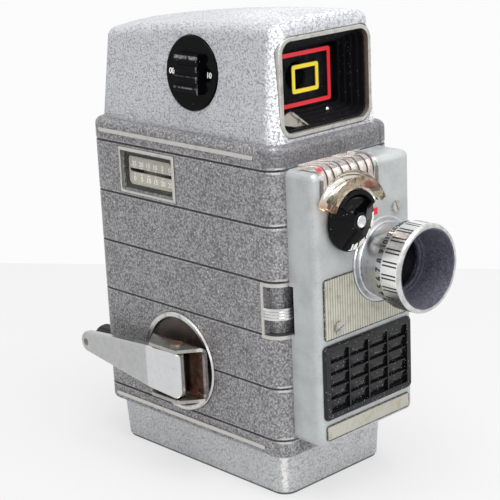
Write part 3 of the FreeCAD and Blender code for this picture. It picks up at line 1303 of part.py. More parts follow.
def place_on_side(shape):
    """Moves a piece built about +Z onto the housing side, its local x towards the front."""
    centre, normal = speed_dial_axis()
    forward = vec(0, -1, 0)
    up = normal.cross(forward)
    matrix = FreeCAD.Matrix(forward.x, up.x, normal.x, centre.x,
                            forward.y, up.y, normal.y, centre.y,
                            forward.z, up.z, normal.z, centre.z, 0, 0, 0, 1)
    return shape.transformed(matrix, copy=True)


def footage_outline(proud, sink, grow):
    """Rectangle of the footage window as a block through the side wall's skin."""
    half_w = FOOTAGE_WIDTH / 2 + grow
    half_h = FOOTAGE_HEIGHT / 2 + grow
    return block(-HALF_WIDTH - proud, -HALF_WIDTH + sink, FOOTAGE_Y - half_w, FOOTAGE_Y + half_w,
                 FOOTAGE_Z - half_h, FOOTAGE_Z + half_h)


def footage_frame():
    """Bright frame of the footage window with its dark inner bezel step."""
    shape = footage_outline(FOOTAGE_PROUD, 0.6, 0.0)
    front = [e for e in shape.Edges if abs(e.BoundBox.XMax + HALF_WIDTH + FOOTAGE_PROUD) < 1e-6]
    shape = shape.makeChamfer(0.25, front)
    return shape.cut(footage_outline(FOOTAGE_PROUD + 1, 2.0, -FOOTAGE_FRAME))


def footage_glass():
    """Clear pane in the frame."""
    half_w = FOOTAGE_WIDTH / 2 - FOOTAGE_FRAME - 0.05
    half_h = FOOTAGE_HEIGHT / 2 - FOOTAGE_FRAME - 0.05
    x0 = -HALF_WIDTH + 0.05
    return block(x0, x0 + 0.5, FOOTAGE_Y - half_w, FOOTAGE_Y + half_w,
                 FOOTAGE_Z - half_h, FOOTAGE_Z + half_h)


def drum_x():
    return -INNER_X + DRUM_RADIUS + 0.35


def footage_drum():
    """Counter drum under the window, turning on an upright spindle."""
    low = FOOTAGE_Z - DRUM_HEIGHT / 2
    drum = rod_z(DRUM_RADIUS, low, low + DRUM_HEIGHT, drum_x(), FOOTAGE_Y)
    drum = drum.cut(rod_z(DRUM_RADIUS - 1.2, low - 1, low + DRUM_HEIGHT - 1.2,
                          drum_x(), FOOTAGE_Y))
    sleeve = rod_z(DRUM_SHAFT_RADIUS + 1.2, low, low + DRUM_HEIGHT, drum_x(), FOOTAGE_Y)
    drum = drum.fuse(sleeve)
    return drum.cut(rod_z(DRUM_SHAFT_RADIUS + RUNNING, low - 1, low + DRUM_HEIGHT + 1,
                          drum_x(), FOOTAGE_Y))


def footage_bracket():
    """Bracket on the clockwork plate that carries the drum's spindle."""
    low = FOOTAGE_Z - DRUM_HEIGHT / 2 - 0.15
    high = FOOTAGE_Z + DRUM_HEIGHT / 2 + 0.3
    plate = block(drum_x() - 3, PLATE_X, FOOTAGE_Y - 3, FOOTAGE_Y + 3, low - 1.1, low)
    foot = block(PLATE_X - 1.2, PLATE_X, FOOTAGE_Y - 5, FOOTAGE_Y + 5, low - 0.4, low + 8)
    spindle = rod_z(DRUM_SHAFT_RADIUS, low - 0.5, high, drum_x(), FOOTAGE_Y)
    return fuse_all([plate, foot, spindle])


def key_ring():
    """Bright ring let into the side round the key."""
    x0 = -HALF_WIDTH - KEY_RING_PROUD
    x1 = -HALF_WIDTH + 0.6
    inner = KEY_RING_RADIUS - KEY_RING_WIDTH
    profile = [(inner, x1), (KEY_RING_RADIUS, x1), (KEY_RING_RADIUS, x0 + 0.5),
               (KEY_RING_RADIUS - 0.4, x0), (inner + 0.4, x0), (inner, x0 + 0.4)]
    return turned_x(profile, KEY_Y, KEY_Z)


def key_disc():
    """Dark disc in the recess, with the arbor that reaches the mainspring."""
    x1 = KEY_RECESS_FLOOR - 0.1
    x0 = x1 - KEY_DISC_THICKNESS
    radius = KEY_RING_RADIUS - KEY_RING_WIDTH - 0.3
    bracket_back = -HALF_WIDTH - BRACKET_STAND
    profile = [(0, bracket_back), (6.0, bracket_back), (6.0, x0), (radius, x0), (radius, x1),
               (KEY_ARBOR_RADIUS, x1), (KEY_ARBOR_RADIUS, PLATE_X - 2.0), (0, PLATE_X - 2.0)]
    return turned_x(profile, KEY_Y, KEY_Z)


def key_bracket():
    """Folded sheet bracket: a back plate with an upper and a lower cheek for the handle."""
    back = -HALF_WIDTH - BRACKET_STAND
    out = -HALF_WIDTH - BRACKET_REACH
    front = KEY_Y + BRACKET_FRONT
    rear = KEY_Y + BRACKET_REAR
    half = BRACKET_HALF_HEIGHT
    sheet = BRACKET_SHEET
    peak = HANDLE_PIVOT_Y - HANDLE_HEEL - 0.1
    outline = [(back, front), (back, rear), (out, rear - 7.6), (out, peak),
               (back - sheet - 0.7, front)]
    solid = prism_z(outline, KEY_Z - half, KEY_Z + half)
    rounding = edges_along(solid, vec(0, 1, 0), lambda c: c.x > back - 0.1)
    solid = solid.makeFillet(BRACKET_BEND, rounding)
    room = prism_z([(back - sheet, front - 2), (back - sheet, rear + 1), (out - 5, rear + 1),
                    (out - 5, front - 2)], KEY_Z - half + sheet, KEY_Z + half - sheet)
    bends = edges_along(room, vec(0, 1, 0), lambda c: c.x > back - sheet - 0.1)
    room = room.makeFillet(BRACKET_BEND - sheet, bends)
    shape = solid.cut(room)
    corners = [e for e in shape.Edges if e.Curve.TypeId == "Part::GeomLine"
               and abs(abs(e.Curve.Direction.x) - 1) < 1e-6 and e.CenterOfMass.y < front + 0.2
               and abs(abs(e.CenterOfMass.z - KEY_Z) - half) < 0.2]
    if corners:
        shape = shape.makeFillet(1.0, corners)
    hole = HANDLE_PIN_RADIUS + 0.01
    shape = shape.cut(rod_z(hole, KEY_Z - half - 1, KEY_Z + half + 1,
                            HANDLE_PIVOT_X, HANDLE_PIVOT_Y))
    return shape


def key_pin():
    """Copper rivet through the cheeks."""
    half = BRACKET_HALF_HEIGHT
    head = 2.1
    shank = rod_z(HANDLE_PIN_RADIUS, KEY_Z - half, KEY_Z + half, HANDLE_PIVOT_X, HANDLE_PIVOT_Y)
    top = rod_z(head, KEY_Z + half, KEY_Z + half + 0.5, HANDLE_PIVOT_X, HANDLE_PIVOT_Y)
    low = rod_z(head, KEY_Z - half - 0.5, KEY_Z - half, HANDLE_PIVOT_X, HANDLE_PIVOT_Y)
    return fuse_all([shank, top, low])


def key_handle():
    """Tapered folding handle, rounded at the tip, with the eye of its pin at the root."""
    root = HANDLE_ROOT_HEIGHT / 2
    tip = HANDLE_TIP_HEIGHT / 2
    heel = HANDLE_PIVOT_Y - HANDLE_HEEL
    shoulder = HANDLE_PIVOT_Y + 11.0
    end = HANDLE_PIVOT_Y + HANDLE_LENGTH
    face_root = -HALF_WIDTH - HANDLE_ROOT_FACE
    face_tip = -HALF_WIDTH - HANDLE_TIP_FACE
    bend = HANDLE_HEEL_CORNER
    slant = bend * (1 - math.sqrt(0.5))
    side = Part.Face(Part.Wire([
        Part.makeLine(vec(0, heel + bend, KEY_Z - root), vec(0, shoulder, KEY_Z - root + 0.8)),
        Part.makeLine(vec(0, shoulder, KEY_Z - root + 0.8), vec(0, end - tip, KEY_Z - tip)),
        Part.Arc(vec(0, end - tip, KEY_Z - tip), vec(0, end, KEY_Z),
                 vec(0, end - tip, KEY_Z + tip)).toShape(),
        Part.makeLine(vec(0, end - tip, KEY_Z + tip), vec(0, shoulder, KEY_Z + root - 0.8)),
        Part.makeLine(vec(0, shoulder, KEY_Z + root - 0.8), vec(0, heel + bend, KEY_Z + root)),
        Part.Arc(vec(0, heel + bend, KEY_Z + root), vec(0, heel + slant, KEY_Z + root - slant),
                 vec(0, heel, KEY_Z + root - bend)).toShape(),
        Part.makeLine(vec(0, heel, KEY_Z + root - bend), vec(0, heel, KEY_Z - root + bend)),
        Part.Arc(vec(0, heel, KEY_Z - root + bend), vec(0, heel + slant, KEY_Z - root + slant),
                 vec(0, heel + bend, KEY_Z - root)).toShape()]))
    upright = side.extrude(vec(-40, 0, 0))
    upright.translate(vec(-15, 0, 0))
    plan = prism_z([(face_root, heel), (face_root, shoulder - 4), (face_tip, end),
                    (face_tip + HANDLE_THICKNESS * 0.75, end),
                    (face_root + HANDLE_THICKNESS, shoulder + 3),
                    (HANDLE_PIVOT_X + 2.4, HANDLE_PIVOT_Y + 3.5),
                    (HANDLE_PIVOT_X + 2.4, HANDLE_PIVOT_Y - 0.9),
                    (HANDLE_PIVOT_X - 0.9, heel)],
                   KEY_Z - root - 1, KEY_Z + root + 1)
    roll = edges_along(plan, vec(0, 0, 1), lambda c: c.x < face_root + 0.1 and c.y < heel + 0.1)
    plan = plan.makeFillet(HANDLE_HEEL_ROLL, roll)
    shape = upright.common(plan)
    outer = []
    for edge in shape.Edges:
        c = edge.CenterOfMass
        long_enough = edge.Length > 5
        if long_enough and c.x < face_tip + 0.2 and abs(c.z - KEY_Z) > 1 and c.y > heel + 1.7:
            outer.append(edge)
    shape = shape.makeFillet(0.9, outer)
    return shape.cut(rod_z(HANDLE_PIN_RADIUS + RUNNING, KEY_Z - 20, KEY_Z + 20,
                           HANDLE_PIVOT_X, HANDLE_PIVOT_Y))


def latch_knob():
    """Black rounded knob on the back, with its shaft through the rear wall."""
    y0 = HALF_LENGTH + 0.15
    y1 = y0 + LATCH_KNOB_LENGTH
    knob = rod_y(LATCH_KNOB_RADIUS, y0, y1, LATCH_X, LATCH_Z)
    rim = [e for e in knob.Edges if abs(e.BoundBox.YMin - y1) < 1e-6]
    knob = knob.makeFillet(2.2, rim)
    flutes = []
    for index in range(12):
        flute = rod_y(0.8, y0 - 1, y1 + 1, LATCH_X + LATCH_KNOB_RADIUS + 0.35, LATCH_Z)
        flute.rotate(vec(LATCH_X, 0, LATCH_Z), vec(0, 1, 0), 30.0 * index)
        flutes.append(flute)
    knob = knob.cut(Part.makeCompound(flutes))
    shaft = rod_y(LATCH_SHAFT_RADIUS, latch_arm_y(), y0 + 0.2, LATCH_X, LATCH_Z)
    return knob.fuse(shaft).removeSplitter()


def latch_arm_y():
    """Front face of the latch arm, clear of the door's lip."""
    return INNER_Y - 2 * SLIDING - DOOR_LIP_THICKNESS - 0.25 - LATCH_ARM_THICKNESS


def latch_arm():
    """Arm inside the rear wall whose hook holds the door's keeper."""
    y0 = latch_arm_y()
    y1 = y0 + LATCH_ARM_THICKNESS
    half = LATCH_ARM_WIDTH / 2
    eye = rod_y(LATCH_SHAFT_RADIUS + 1.6, y0, y1, LATCH_X, LATCH_Z)
    tip = LATCH_HOOK_X + 1.1
    bar = block(LATCH_X, tip, y0, y1, LATCH_Z - half, LATCH_Z + half)
    hook = block(LATCH_HOOK_X, tip, y0, y1, LATCH_Z, LATCH_Z + LATCH_HOOK_HEIGHT)
    shape = fuse_all([eye, bar, hook])
    return shape.cut(rod_y(LATCH_SHAFT_RADIUS + 0.01, y0 - 1, y1 + 1, LATCH_X, LATCH_Z))


def clockwork_plate():
    """Main plate between the clockwork and the film chamber, with its cast-on brackets."""
    shape = slab_x(-INNER_Y + 2.0, INNER_Y - 0.15, INNER_BOTTOM + 0.15, INNER_TOP - 0.15,
                   3.0, PLATE_X, PLATE_X + PLATE_SHEET)
    shape = shape.cut(block(PLATE_X - 1, PLATE_X + 3, latch_arm_y() - 0.6, INNER_Y + 1,
                            LATCH_Z - 9.0, LATCH_Z + 5.2))
    shape = shape.cut(block(PLATE_X - 1, PLATE_X + 3, -HALF_LENGTH,
                            SHUTTER_Y + SHUTTER_SHEET + 0.35, LENS_Z - SHUTTER_RADIUS - 1.0,
                            LENS_Z + SHUTTER_RADIUS + 1.0))
    gap = SHAFT_RADIUS + RUNNING
    for y, z in (train_place(), crown_place(), governor_place()):
        shape = shape.cut(rod_x(gap, PLATE_X - 1, PLATE_X + 3, y, z))
    for y, z in ((TAKEUP_Y, TAKEUP_Z), (SUPPLY_Y, SUPPLY_Z)):
        shape = shape.cut(rod_x(SPINDLE_RADIUS + RUNNING, PLATE_X - 1, PLATE_X + 3, y, z))
    return fuse_all([shape, shutter_bracket(), footage_bracket(), pressure_bridge()])


def train_place():
    """Axis of the second arbor, in mesh with the barrel and with the take-up wheel."""
    reach_key = GEAR_MODULE_MAIN * (BARREL_TEETH + TRAIN_PINION_TEETH) / 2
    reach_takeup = GEAR_MODULE_FINE * (TRAIN_WHEEL_TEETH + TAKEUP_WHEEL_TEETH) / 2
    dy = TAKEUP_Y - KEY_Y
    dz = TAKEUP_Z - KEY_Z
    span = math.hypot(dy, dz)
    along = (reach_key ** 2 - reach_takeup ** 2 + span ** 2) / (2 * span)
    across = math.sqrt(reach_key ** 2 - along ** 2)
    y = KEY_Y + along * dy / span + across * dz / span
    z = KEY_Z + along * dz / span - across * dy / span
    return y, z


def crown_pinion_teeth():
    """Teeth that let the crown wheel's pinion reach from the train wheel to the lens's level."""
    rise = abs(LENS_Z - train_place()[1])
    return max(GOVERNOR_PINION_TEETH,
               math.ceil(2 * rise / GEAR_MODULE_FINE) - TRAIN_WHEEL_TEETH)


def crown_place():
    """Axis of the crown wheel's arbor, level with the lens."""
    y, z = train_place()
    rise = LENS_Z - z
    reach = GEAR_MODULE_FINE * (TRAIN_WHEEL_TEETH + crown_pinion_teeth()) / 2
    return y + math.sqrt(reach ** 2 - rise ** 2), LENS_Z


def governor_place():
    y, z = train_place()
    angle = math.radians(GOVERNOR_ANGLE)
    reach = GEAR_MODULE_FINE * (TRAIN_WHEEL_TEETH + GOVERNOR_PINION_TEETH) / 2
    return y + reach * math.cos(angle), z + reach * math.sin(angle)


def mesh_phase(teeth, other_teeth, angle, other_phase):
    """Turn of a gear whose gap faces a tooth of the gear it meshes with.

    The angle is the direction from the other gear's axis to this gear's axis.
    """
    step = 2 * math.pi / teeth
    other_step = 2 * math.pi / other_teeth
    offset = ((angle - other_phase) / other_step) % 1.0
    return angle + math.pi + (offset + 0.5) * step


def direction(start, end):
    return math.atan2(end[1] - start[1], end[0] - start[0])


def mainspring_barrel():
    """Spring barrel with its toothed rim, on the key's arbor."""
    x1 = BARREL_X + BARREL_LENGTH
    drum = rod_x(BARREL_RADIUS - 1.0, BARREL_X, x1, KEY_Y, KEY_Z)
    gear = spur_x(BARREL_TEETH, GEAR_MODULE_MAIN, x1 - 0.2, x1 + 2.0, KEY_Y, KEY_Z)
    shape = drum.fuse(gear)
    return shape.cut(rod_x(KEY_ARBOR_RADIUS + RUNNING, BARREL_X - 1, x1 + 3, KEY_Y, KEY_Z))


def train_phases():
    """Turns of all meshing gears at rest, from the barrel outwards."""
    key = (KEY_Y, KEY_Z)
    train = train_place()
    pinion = mesh_phase(TRAIN_PINION_TEETH, BARREL_TEETH, direction(key, train), 0.0)
    wheel = 0.0
    takeup = mesh_phase(TAKEUP_WHEEL_TEETH, TRAIN_WHEEL_TEETH,
                        direction(train, (TAKEUP_Y, TAKEUP_Z)), wheel)
    crown = mesh_phase(crown_pinion_teeth(), TRAIN_WHEEL_TEETH,
                       direction(train, crown_place()), wheel)
    governor = mesh_phase(GOVERNOR_PINION_TEETH, TRAIN_WHEEL_TEETH,
                          direction(train, governor_place()), wheel)
    return {"pinion": pinion, "wheel": wheel, "takeup": takeup, "crown": crown,
            "governor": governor}


def train_wheel():
    """Second arbor: pinion at the barrel and large wheel."""
    y, z = train_place()
    phases = train_phases()
    barrel_gear = BARREL_X + BARREL_LENGTH
    pinion = spur_x(TRAIN_PINION_TEETH, GEAR_MODULE_MAIN, barrel_gear - 0.4, barrel_gear + 2.3,
                    y, z, phases["pinion"])
    wheel = spur_x(TRAIN_WHEEL_TEETH, GEAR_MODULE_FINE, WHEEL_X, WHEEL_X + GEAR_THICKNESS,
                   y, z, phases["wheel"])
    shaft = rod_x(SHAFT_RADIUS, bridge_x() + 0.2, PLATE_X + PLATE_SHEET - 0.3, y, z)
    return fuse_all([shaft, pinion, wheel])


def crown_wheel():
    """Third arbor: pinion and crown wheel, whose teeth face the shutter shaft."""
    y, z = crown_place()
    phases = train_phases()
    pinion = spur_x(crown_pinion_teeth(), GEAR_MODULE_FINE, WHEEL_X - 0.2,
                    WHEEL_X + GEAR_THICKNESS + 0.2, y, z, phases["crown"])
    shaft = rod_x(SHAFT_RADIUS, bridge_x() + 0.2, PLATE_X + PLATE_SHEET - 0.3, y, z)
    face_x = crown_face_x()
    pitch = GEAR_MODULE_FINE * CROWN_WHEEL_TEETH / 2
    disc = rod_x(pitch + 0.7, face_x + 0.5, face_x + 1.7, y, z)
    teeth = []
    width = GEAR_MODULE_FINE * math.pi * 0.34
    for index in range(CROWN_WHEEL_TEETH):
        tooth = block(face_x - 0.45, face_x + 0.6, y + pitch - 0.7, y + pitch + 0.7,
                      z - width / 2, z + width / 2)
        tooth.rotate(vec(0, y, z), vec(1, 0, 0), 360.0 * index / CROWN_WHEEL_TEETH)
        teeth.append(tooth)
    wheel = disc.fuse(Part.makeCompound(teeth))
    return fuse_all([shaft, pinion, wheel])


def crown_face_x():
    """Pitch plane of the crown teeth, one pinion radius from the shutter shaft."""
    return SHUTTER_X + GEAR_MODULE_FINE * SHUTTER_PINION_TEETH / 2


def bridge_x():
    return WHEEL_X - 5.8


def governor():
    """Governor arbor with its pinion and fly weights."""
    y, z = governor_place()
    phases = train_phases()
    pinion = spur_x(GOVERNOR_PINION_TEETH, GEAR_MODULE_FINE, WHEEL_X - 0.2,
                    WHEEL_X + GEAR_THICKNESS + 0.2, y, z, phases["governor"])
    shaft = rod_x(SHAFT_RADIUS, bridge_x() - 5.0, PLATE_X + PLATE_SHEET - 0.3, y, z)
    hub = rod_x(2.4, bridge_x() - 4.8, bridge_x() - 0.6, y, z)
    weights = block(bridge_x() - 4.2, bridge_x() - 1.2, y - GOVERNOR_RADIUS, y + GOVERNOR_RADIUS,
                    z - 1.8, z + 1.8)
    weights = weights.common(rod_x(GOVERNOR_RADIUS, bridge_x() - 5, bridge_x(), y, z))
    return fuse_all([shaft, pinion, hub, weights])


def gear_bridge():
    """Bridge that carries the outer ends of the arbors, on pillars from the main plate."""
    x0 = bridge_x()
    x1 = x0 + 1.2
    ty, tz = train_place()
    cy, cz = crown_place()
    gy, gz = governor_place()
    low = tz - 3.4
    plate = slab_x(gy - 5.2, cy + 14.0, low, cz + 9.0, 2.0, x0, x1)
    window = slab_x(cy + 3.0, cy + 11.0, low + 4.0, cz - 2.6, 1.5, x0 - 1, x1 + 1)
    plate = plate.cut(window)
    pillars = [rod_x(1.8, x1 - 0.1, PLATE_X, gy - 3.0, cz + 6.8),
               rod_x(1.8, x1 - 0.1, PLATE_X, cy + 11.8, cz + 0.5),
               rod_x(1.8, x1 - 0.1, PLATE_X, gy - 3.0, low + 2.3)]
    shape = fuse_all([plate] + pillars)
    for y, z in ((ty, tz), (cy, cz), (gy, gz)):
        shape = shape.cut(rod_x(SHAFT_RADIUS + RUNNING, x0 - 1, x1 + 1, y, z))
    return shape


def shutter():
    """Shutter disc with its open sector, shaft and pinion."""
    y0 = SHUTTER_Y
    disc = rod_y(SHUTTER_RADIUS, y0, y0 + SHUTTER_SHEET, SHUTTER_X, LENS_Z)
    half = SHUTTER_OPEN_ANGLE / 2
    points = [(SHUTTER_X + 3.4, LENS_Z)]
    for index in range(7):
        angle = math.radians(-half + SHUTTER_OPEN_ANGLE * index / 6)
        points.append((SHUTTER_X + 30 * math.cos(angle), LENS_Z + 30 * math.sin(angle)))
    gap = prism_y(points, y0 - 1, y0 + 2)
    disc = disc.cut(gap.cut(rod_y(4.0, y0 - 1, y0 + 2, SHUTTER_X, LENS_Z)))
    hub = rod_y(2.6, y0, y0 + 2.2, SHUTTER_X, LENS_Z)
    cy, cz = crown_place()
    pitch = GEAR_MODULE_FINE * CROWN_WHEEL_TEETH / 2
    end = cy - pitch + 1.2
    shaft = rod_y(SHAFT_RADIUS, y0, end, SHUTTER_X, LENS_Z)
    outline = gear_outline(SHUTTER_PINION_TEETH, GEAR_MODULE_FINE,
                           math.pi / SHUTTER_PINION_TEETH)
    pinion = prism_y([(SHUTTER_X + a, LENS_Z + b) for a, b in outline], end - 2.4, end)
    return fuse_all([disc, hub, shaft, pinion])


def shutter_bracket():
    """Bracket on the main plate with the two bearings of the shutter shaft."""
    y0 = -INNER_Y + 5.6
    y1 = crown_place()[0] - GEAR_MODULE_FINE * CROWN_WHEEL_TEETH / 2 - 5.0
    spine = block(PLATE_X - 1.4, PLATE_X, y0, y1, LENS_Z - 4, LENS_Z + 4)
    pieces = [spine]
    for y in (y0, y1 - 3.0):
        pieces.append(block(SHUTTER_X - 3, PLATE_X - 0.1, y, y + 3.0, LENS_Z - 3, LENS_Z + 3))
    shape = fuse_all(pieces)
    return shape.cut(rod_y(SHAFT_RADIUS + RUNNING, y0 - 1, y1 + 1, SHUTTER_X, LENS_Z))


def takeup_spindle():
    """Driven spindle of the lower spool, with its wheel and keys."""
    phases = train_phases()
    wheel = spur_x(TAKEUP_WHEEL_TEETH, GEAR_MODULE_FINE, WHEEL_X, WHEEL_X + GEAR_THICKNESS,
                   TAKEUP_Y, TAKEUP_Z, phases["takeup"])
    return fuse_all([spindle_form(TAKEUP_Y, TAKEUP_Z, WHEEL_X - 0.2), wheel])


def spindle_form(y, z, x0):
    """Spindle through the main plate with three drive keys and a rounded nose."""
    nose = PLATE_FILM_X + 0.6 + SPOOL_WIDTH + 1.4
    shaft = rod_x(SPINDLE_RADIUS, x0, nose, y, z)
    tip = [e for e in shaft.Edges if e.BoundBox.XMin > nose - 0.01]
    shaft = shaft.makeFillet(1.6, tip)
    collar = rod_x(SPINDLE_RADIUS + 1.6, PLATE_X - 1.0, PLATE_X - 0.1, y, z)
    return shaft.fuse(collar)


def supply_spindle():
    """Free spindle of the upper spool."""
    return spindle_form(SUPPLY_Y, SUPPLY_Z, PLATE_X - 2.4)


def takeup_spool():
    """Metal 25 ft spool on the lower spindle."""
    x0 = PLATE_FILM_X + 0.6
    x1 = x0 + SPOOL_WIDTH
    bore = SPINDLE_RADIUS + RUNNING
    profile = [(bore, x0), (SPOOL_RADIUS, x0), (SPOOL_RADIUS, x0 + SPOOL_FLANGE),
               (SPOOL_CORE_RADIUS, x0 + SPOOL_FLANGE), (SPOOL_CORE_RADIUS, x1 - SPOOL_FLANGE),
               (SPOOL_RADIUS, x1 - SPOOL_FLANGE), (SPOOL_RADIUS, x1), (bore, x1)]
    shape = turned_x(profile, TAKEUP_Y, TAKEUP_Z)
    holes = []
    for index in range(3):
        hole = rod_x(4.6, x0 - 1, x1 + 1, TAKEUP_Y, TAKEUP_Z + 16.6)
        hole.rotate(vec(0, TAKEUP_Y, TAKEUP_Z), vec(1, 0, 0), 120.0 * index)
        holes.append(hole)
    return shape.cut(Part.makeCompound(holes))


def film_gate():
    """Gate plate with the picture opening, its foot on the main plate."""
    x0 = PLATE_FILM_X
    x1 = x0 + GATE_WIDTH
    low = LENS_Z - GATE_HEIGHT / 2
    y1 = GATE_Y
    y0 = y1 - GATE_SHEET
    plate = block(x0, x1, y0, y1, low, low + GATE_HEIGHT)
    foot = block(x0, x0 + 1.2, y0, y1 + 5.0, low, low + GATE_HEIGHT * 0.25)
    foot2 = block(x0, x0 + 1.2, y0, y1 + 5.0, low + GATE_HEIGHT * 0.75, low + GATE_HEIGHT)
    shape = fuse_all([plate, foot, foot2])
    shape = shape.cut(block(LENS_X - APERTURE_WIDTH / 2, LENS_X + APERTURE_WIDTH / 2,
                            y0 - 1, y1 + 1, LENS_Z - APERTURE_HEIGHT / 2,
                            LENS_Z + APERTURE_HEIGHT / 2))
    slot = CLAW_STROKE / 2 + 1.2
    return shape.cut(block(claw_x() - 0.6, claw_x() + 0.6, y0 - 1, y1 + 1,
                           claw_z() - slot, claw_z() + slot))


def claw_x():
    """Line of the film's perforations."""
    return PLATE_FILM_X + 2.6


def claw_z():
    return LENS_Z - 7.6


def claw():
    """Claw arm beside the main plate, its tooth in the gate's slot."""
    x0 = PLATE_FILM_X + 0.1
    y1 = GATE_Y - GATE_SHEET - 0.3
    body = block(x0, x0 + 3.2, y1 - 2.0, y1, claw_z() - 5.0, claw_z() + 5.0)
    tooth = block(claw_x() - 0.35, claw_x() + 0.35, y1 - 0.1, GATE_Y + 0.5,
                  claw_z() - 0.5, claw_z() + 0.5)
    return body.fuse(tooth)


def pressure_plate():
    """Sprung plate that keeps the film flat in the gate."""
    x0 = PLATE_FILM_X + 1.6
    half = PRESSURE_PLATE_HEIGHT / 2
    y0 = GATE_Y + 0.6
    plate = block(x0, x0 + GATE_WIDTH - 3.0, y0, y0 + 1.0, LENS_Z - half, LENS_Z + half)
    plate = plate.makeFillet(0.6, edges_along(plate, vec(1, 0, 0), lambda c: c.y < y0 + 0.1))
    stems = [rod_y(1.0, y0 + 0.9, y0 + 6.4, x0 + 4.5 + 6.0 * i, LENS_Z) for i in range(2)]
    return fuse_all([plate] + stems)


def pressure_bridge():
    """Bridge behind the pressure plate, with the holes of its stems."""
    x0 = PLATE_FILM_X
    y0 = GATE_Y + 4.0
    bar = block(x0, x0 + GATE_WIDTH, y0, y0 + 1.2, LENS_Z - 4, LENS_Z + 4)
    foot = block(x0, x0 + 1.2, y0, y0 + 6.0, LENS_Z - 4, LENS_Z + 4)
    shape = fuse_all([bar, foot])
    for index in range(2):
        shape = shape.cut(rod_y(1.0 + RUNNING, y0 - 1, y0 + 3,
                                PLATE_FILM_X + 1.6 + 4.5 + 6.0 * index, LENS_Z))
    return shape


def nodes():
    """Every sub-part by its node name."""
    return {
        "body_shell": body_shell(),
        "film_door": film_door(),
        "hinge_leaf": hinge_leaf(),
        "side_trim": trim_strips(-1),
        "door_trim": trim_strips(1),
        "base_casting": base_casting(),
        "base_plate": base_plate(),
        "base_screws": base_screws(),
        "tripod_bush": tripod_bush(),
        "top_housing": top_housing(),
        "finder_bezel": finder_bezel(),
        "finder_baffle": finder_baffle(),
        "finder_glass": finder_glass(),
        "finder_wide_frame": finder_frame(WIDE_FRAME_WIDTH, WIDE_FRAME_HEIGHT),
        "finder_narrow_frame": finder_frame(NARROW_FRAME_WIDTH, NARROW_FRAME_HEIGHT),
        "finder_clip": finder_clip(),
        "eyepiece": eyepiece(),
        "eyepiece_lens": eyepiece_lens(),
        "front_panel": front_panel(),
        "cell_window": cell_window(),
        "upper_plate": upper_plate(),
        "lower_plate": lower_plate(),
        "front_screws": front_screws(),
        "lens_flange": lens_flange(),
        "lens_barrel": lens_barrel(),
        "lens_ring": lens_ring(),
        "lens_hood_cone": lens_hood_cone(),
        "lens_front_glass": lens_front_glass(),
        "exposure_scale_window": exposure_scale_window(),
        "exposure_dial": exposure_dial(),
        "exposure_dial_hub": dial_hub(),
        "clear_sector": clear_sector(),
        "meter_movement": meter_movement(),
        "meter_needle": meter_needle(),
        "film_speed_dial": speed_dial(),
        "footage_frame": footage_frame(),
        "footage_glass": footage_glass(),
        "footage_drum": footage_drum(),
        "starter_frame": starter_frame(),
        "starter_button": starter_button(),
        "key_ring": key_ring(),
        "key_disc": key_disc(),
        "key_bracket": key_bracket(),
        "key_pin": key_pin(),
        "key_handle": key_handle(),
        "latch_knob": latch_knob(),
        "latch_arm": latch_arm(),
        "clockwork_plate": clockwork_plate(),
        "mainspring_barrel": mainspring_barrel(),
        "train_wheel": train_wheel(),
        "crown_wheel": crown_wheel(),
        "governor": governor(),
        "gear_bridge": gear_bridge(),
        "shutter": shutter(),
        "takeup_spindle": takeup_spindle(),
        "supply_spindle": supply_spindle(),
        "takeup_spool": takeup_spool(),
        "film_gate": film_gate(),
        "claw": claw(),
        "pressure_plate": pressure_plate(),
    }


def main():
    os.makedirs("parts", exist_ok=True)
    for name, shape in nodes().items():
        solids = len(shape.Solids)
        print(f"{name:24s} solids {solids} volume {shape.Volume:10.2f} valid {shape.isValid()}")
        shape.exportStep(os.path.join("parts", name + ".step"))


main()
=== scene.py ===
"""Clockwork movie camera: its finishes, printed marks, small trim and the studio round it.

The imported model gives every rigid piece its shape. Here each piece gets its finish, and what is
printed, engraved or laid in is added. Lengths are metres, +Z is up, the lens looks along -Y, the
winding key is on the -X side and the film door on the +X side.
"""

import logging
import math
from dataclasses import dataclass
from enum import Enum
from functools import cached_property
from typing import Callable, ClassVar, Mapping, Sequence, Union

import bpy
import numpy as np
from mathutils import Matrix, Vector


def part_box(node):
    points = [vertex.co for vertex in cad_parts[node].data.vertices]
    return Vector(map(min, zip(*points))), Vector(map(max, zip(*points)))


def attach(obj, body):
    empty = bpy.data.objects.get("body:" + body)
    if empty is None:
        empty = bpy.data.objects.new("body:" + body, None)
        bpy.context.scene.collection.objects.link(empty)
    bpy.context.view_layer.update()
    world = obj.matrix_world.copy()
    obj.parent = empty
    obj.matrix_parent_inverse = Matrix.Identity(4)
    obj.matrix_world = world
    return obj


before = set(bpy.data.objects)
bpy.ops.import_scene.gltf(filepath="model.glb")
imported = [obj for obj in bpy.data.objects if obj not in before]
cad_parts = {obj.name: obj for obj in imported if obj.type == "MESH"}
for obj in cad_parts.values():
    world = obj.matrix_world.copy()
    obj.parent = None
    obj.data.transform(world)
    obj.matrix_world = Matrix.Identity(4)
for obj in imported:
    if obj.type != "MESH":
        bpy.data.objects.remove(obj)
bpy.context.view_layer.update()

LOG = logging.getLogger("camera")
MM = 0.001

Colour = tuple[float, float, float, float]
Point = tuple[float, float, float]
Socket = bpy.types.NodeSocket
Sockets = Mapping[str, Socket]
Value = Union[Socket, float, Sequence[float]]
Solid = tuple[np.ndarray, list[list[int]]]


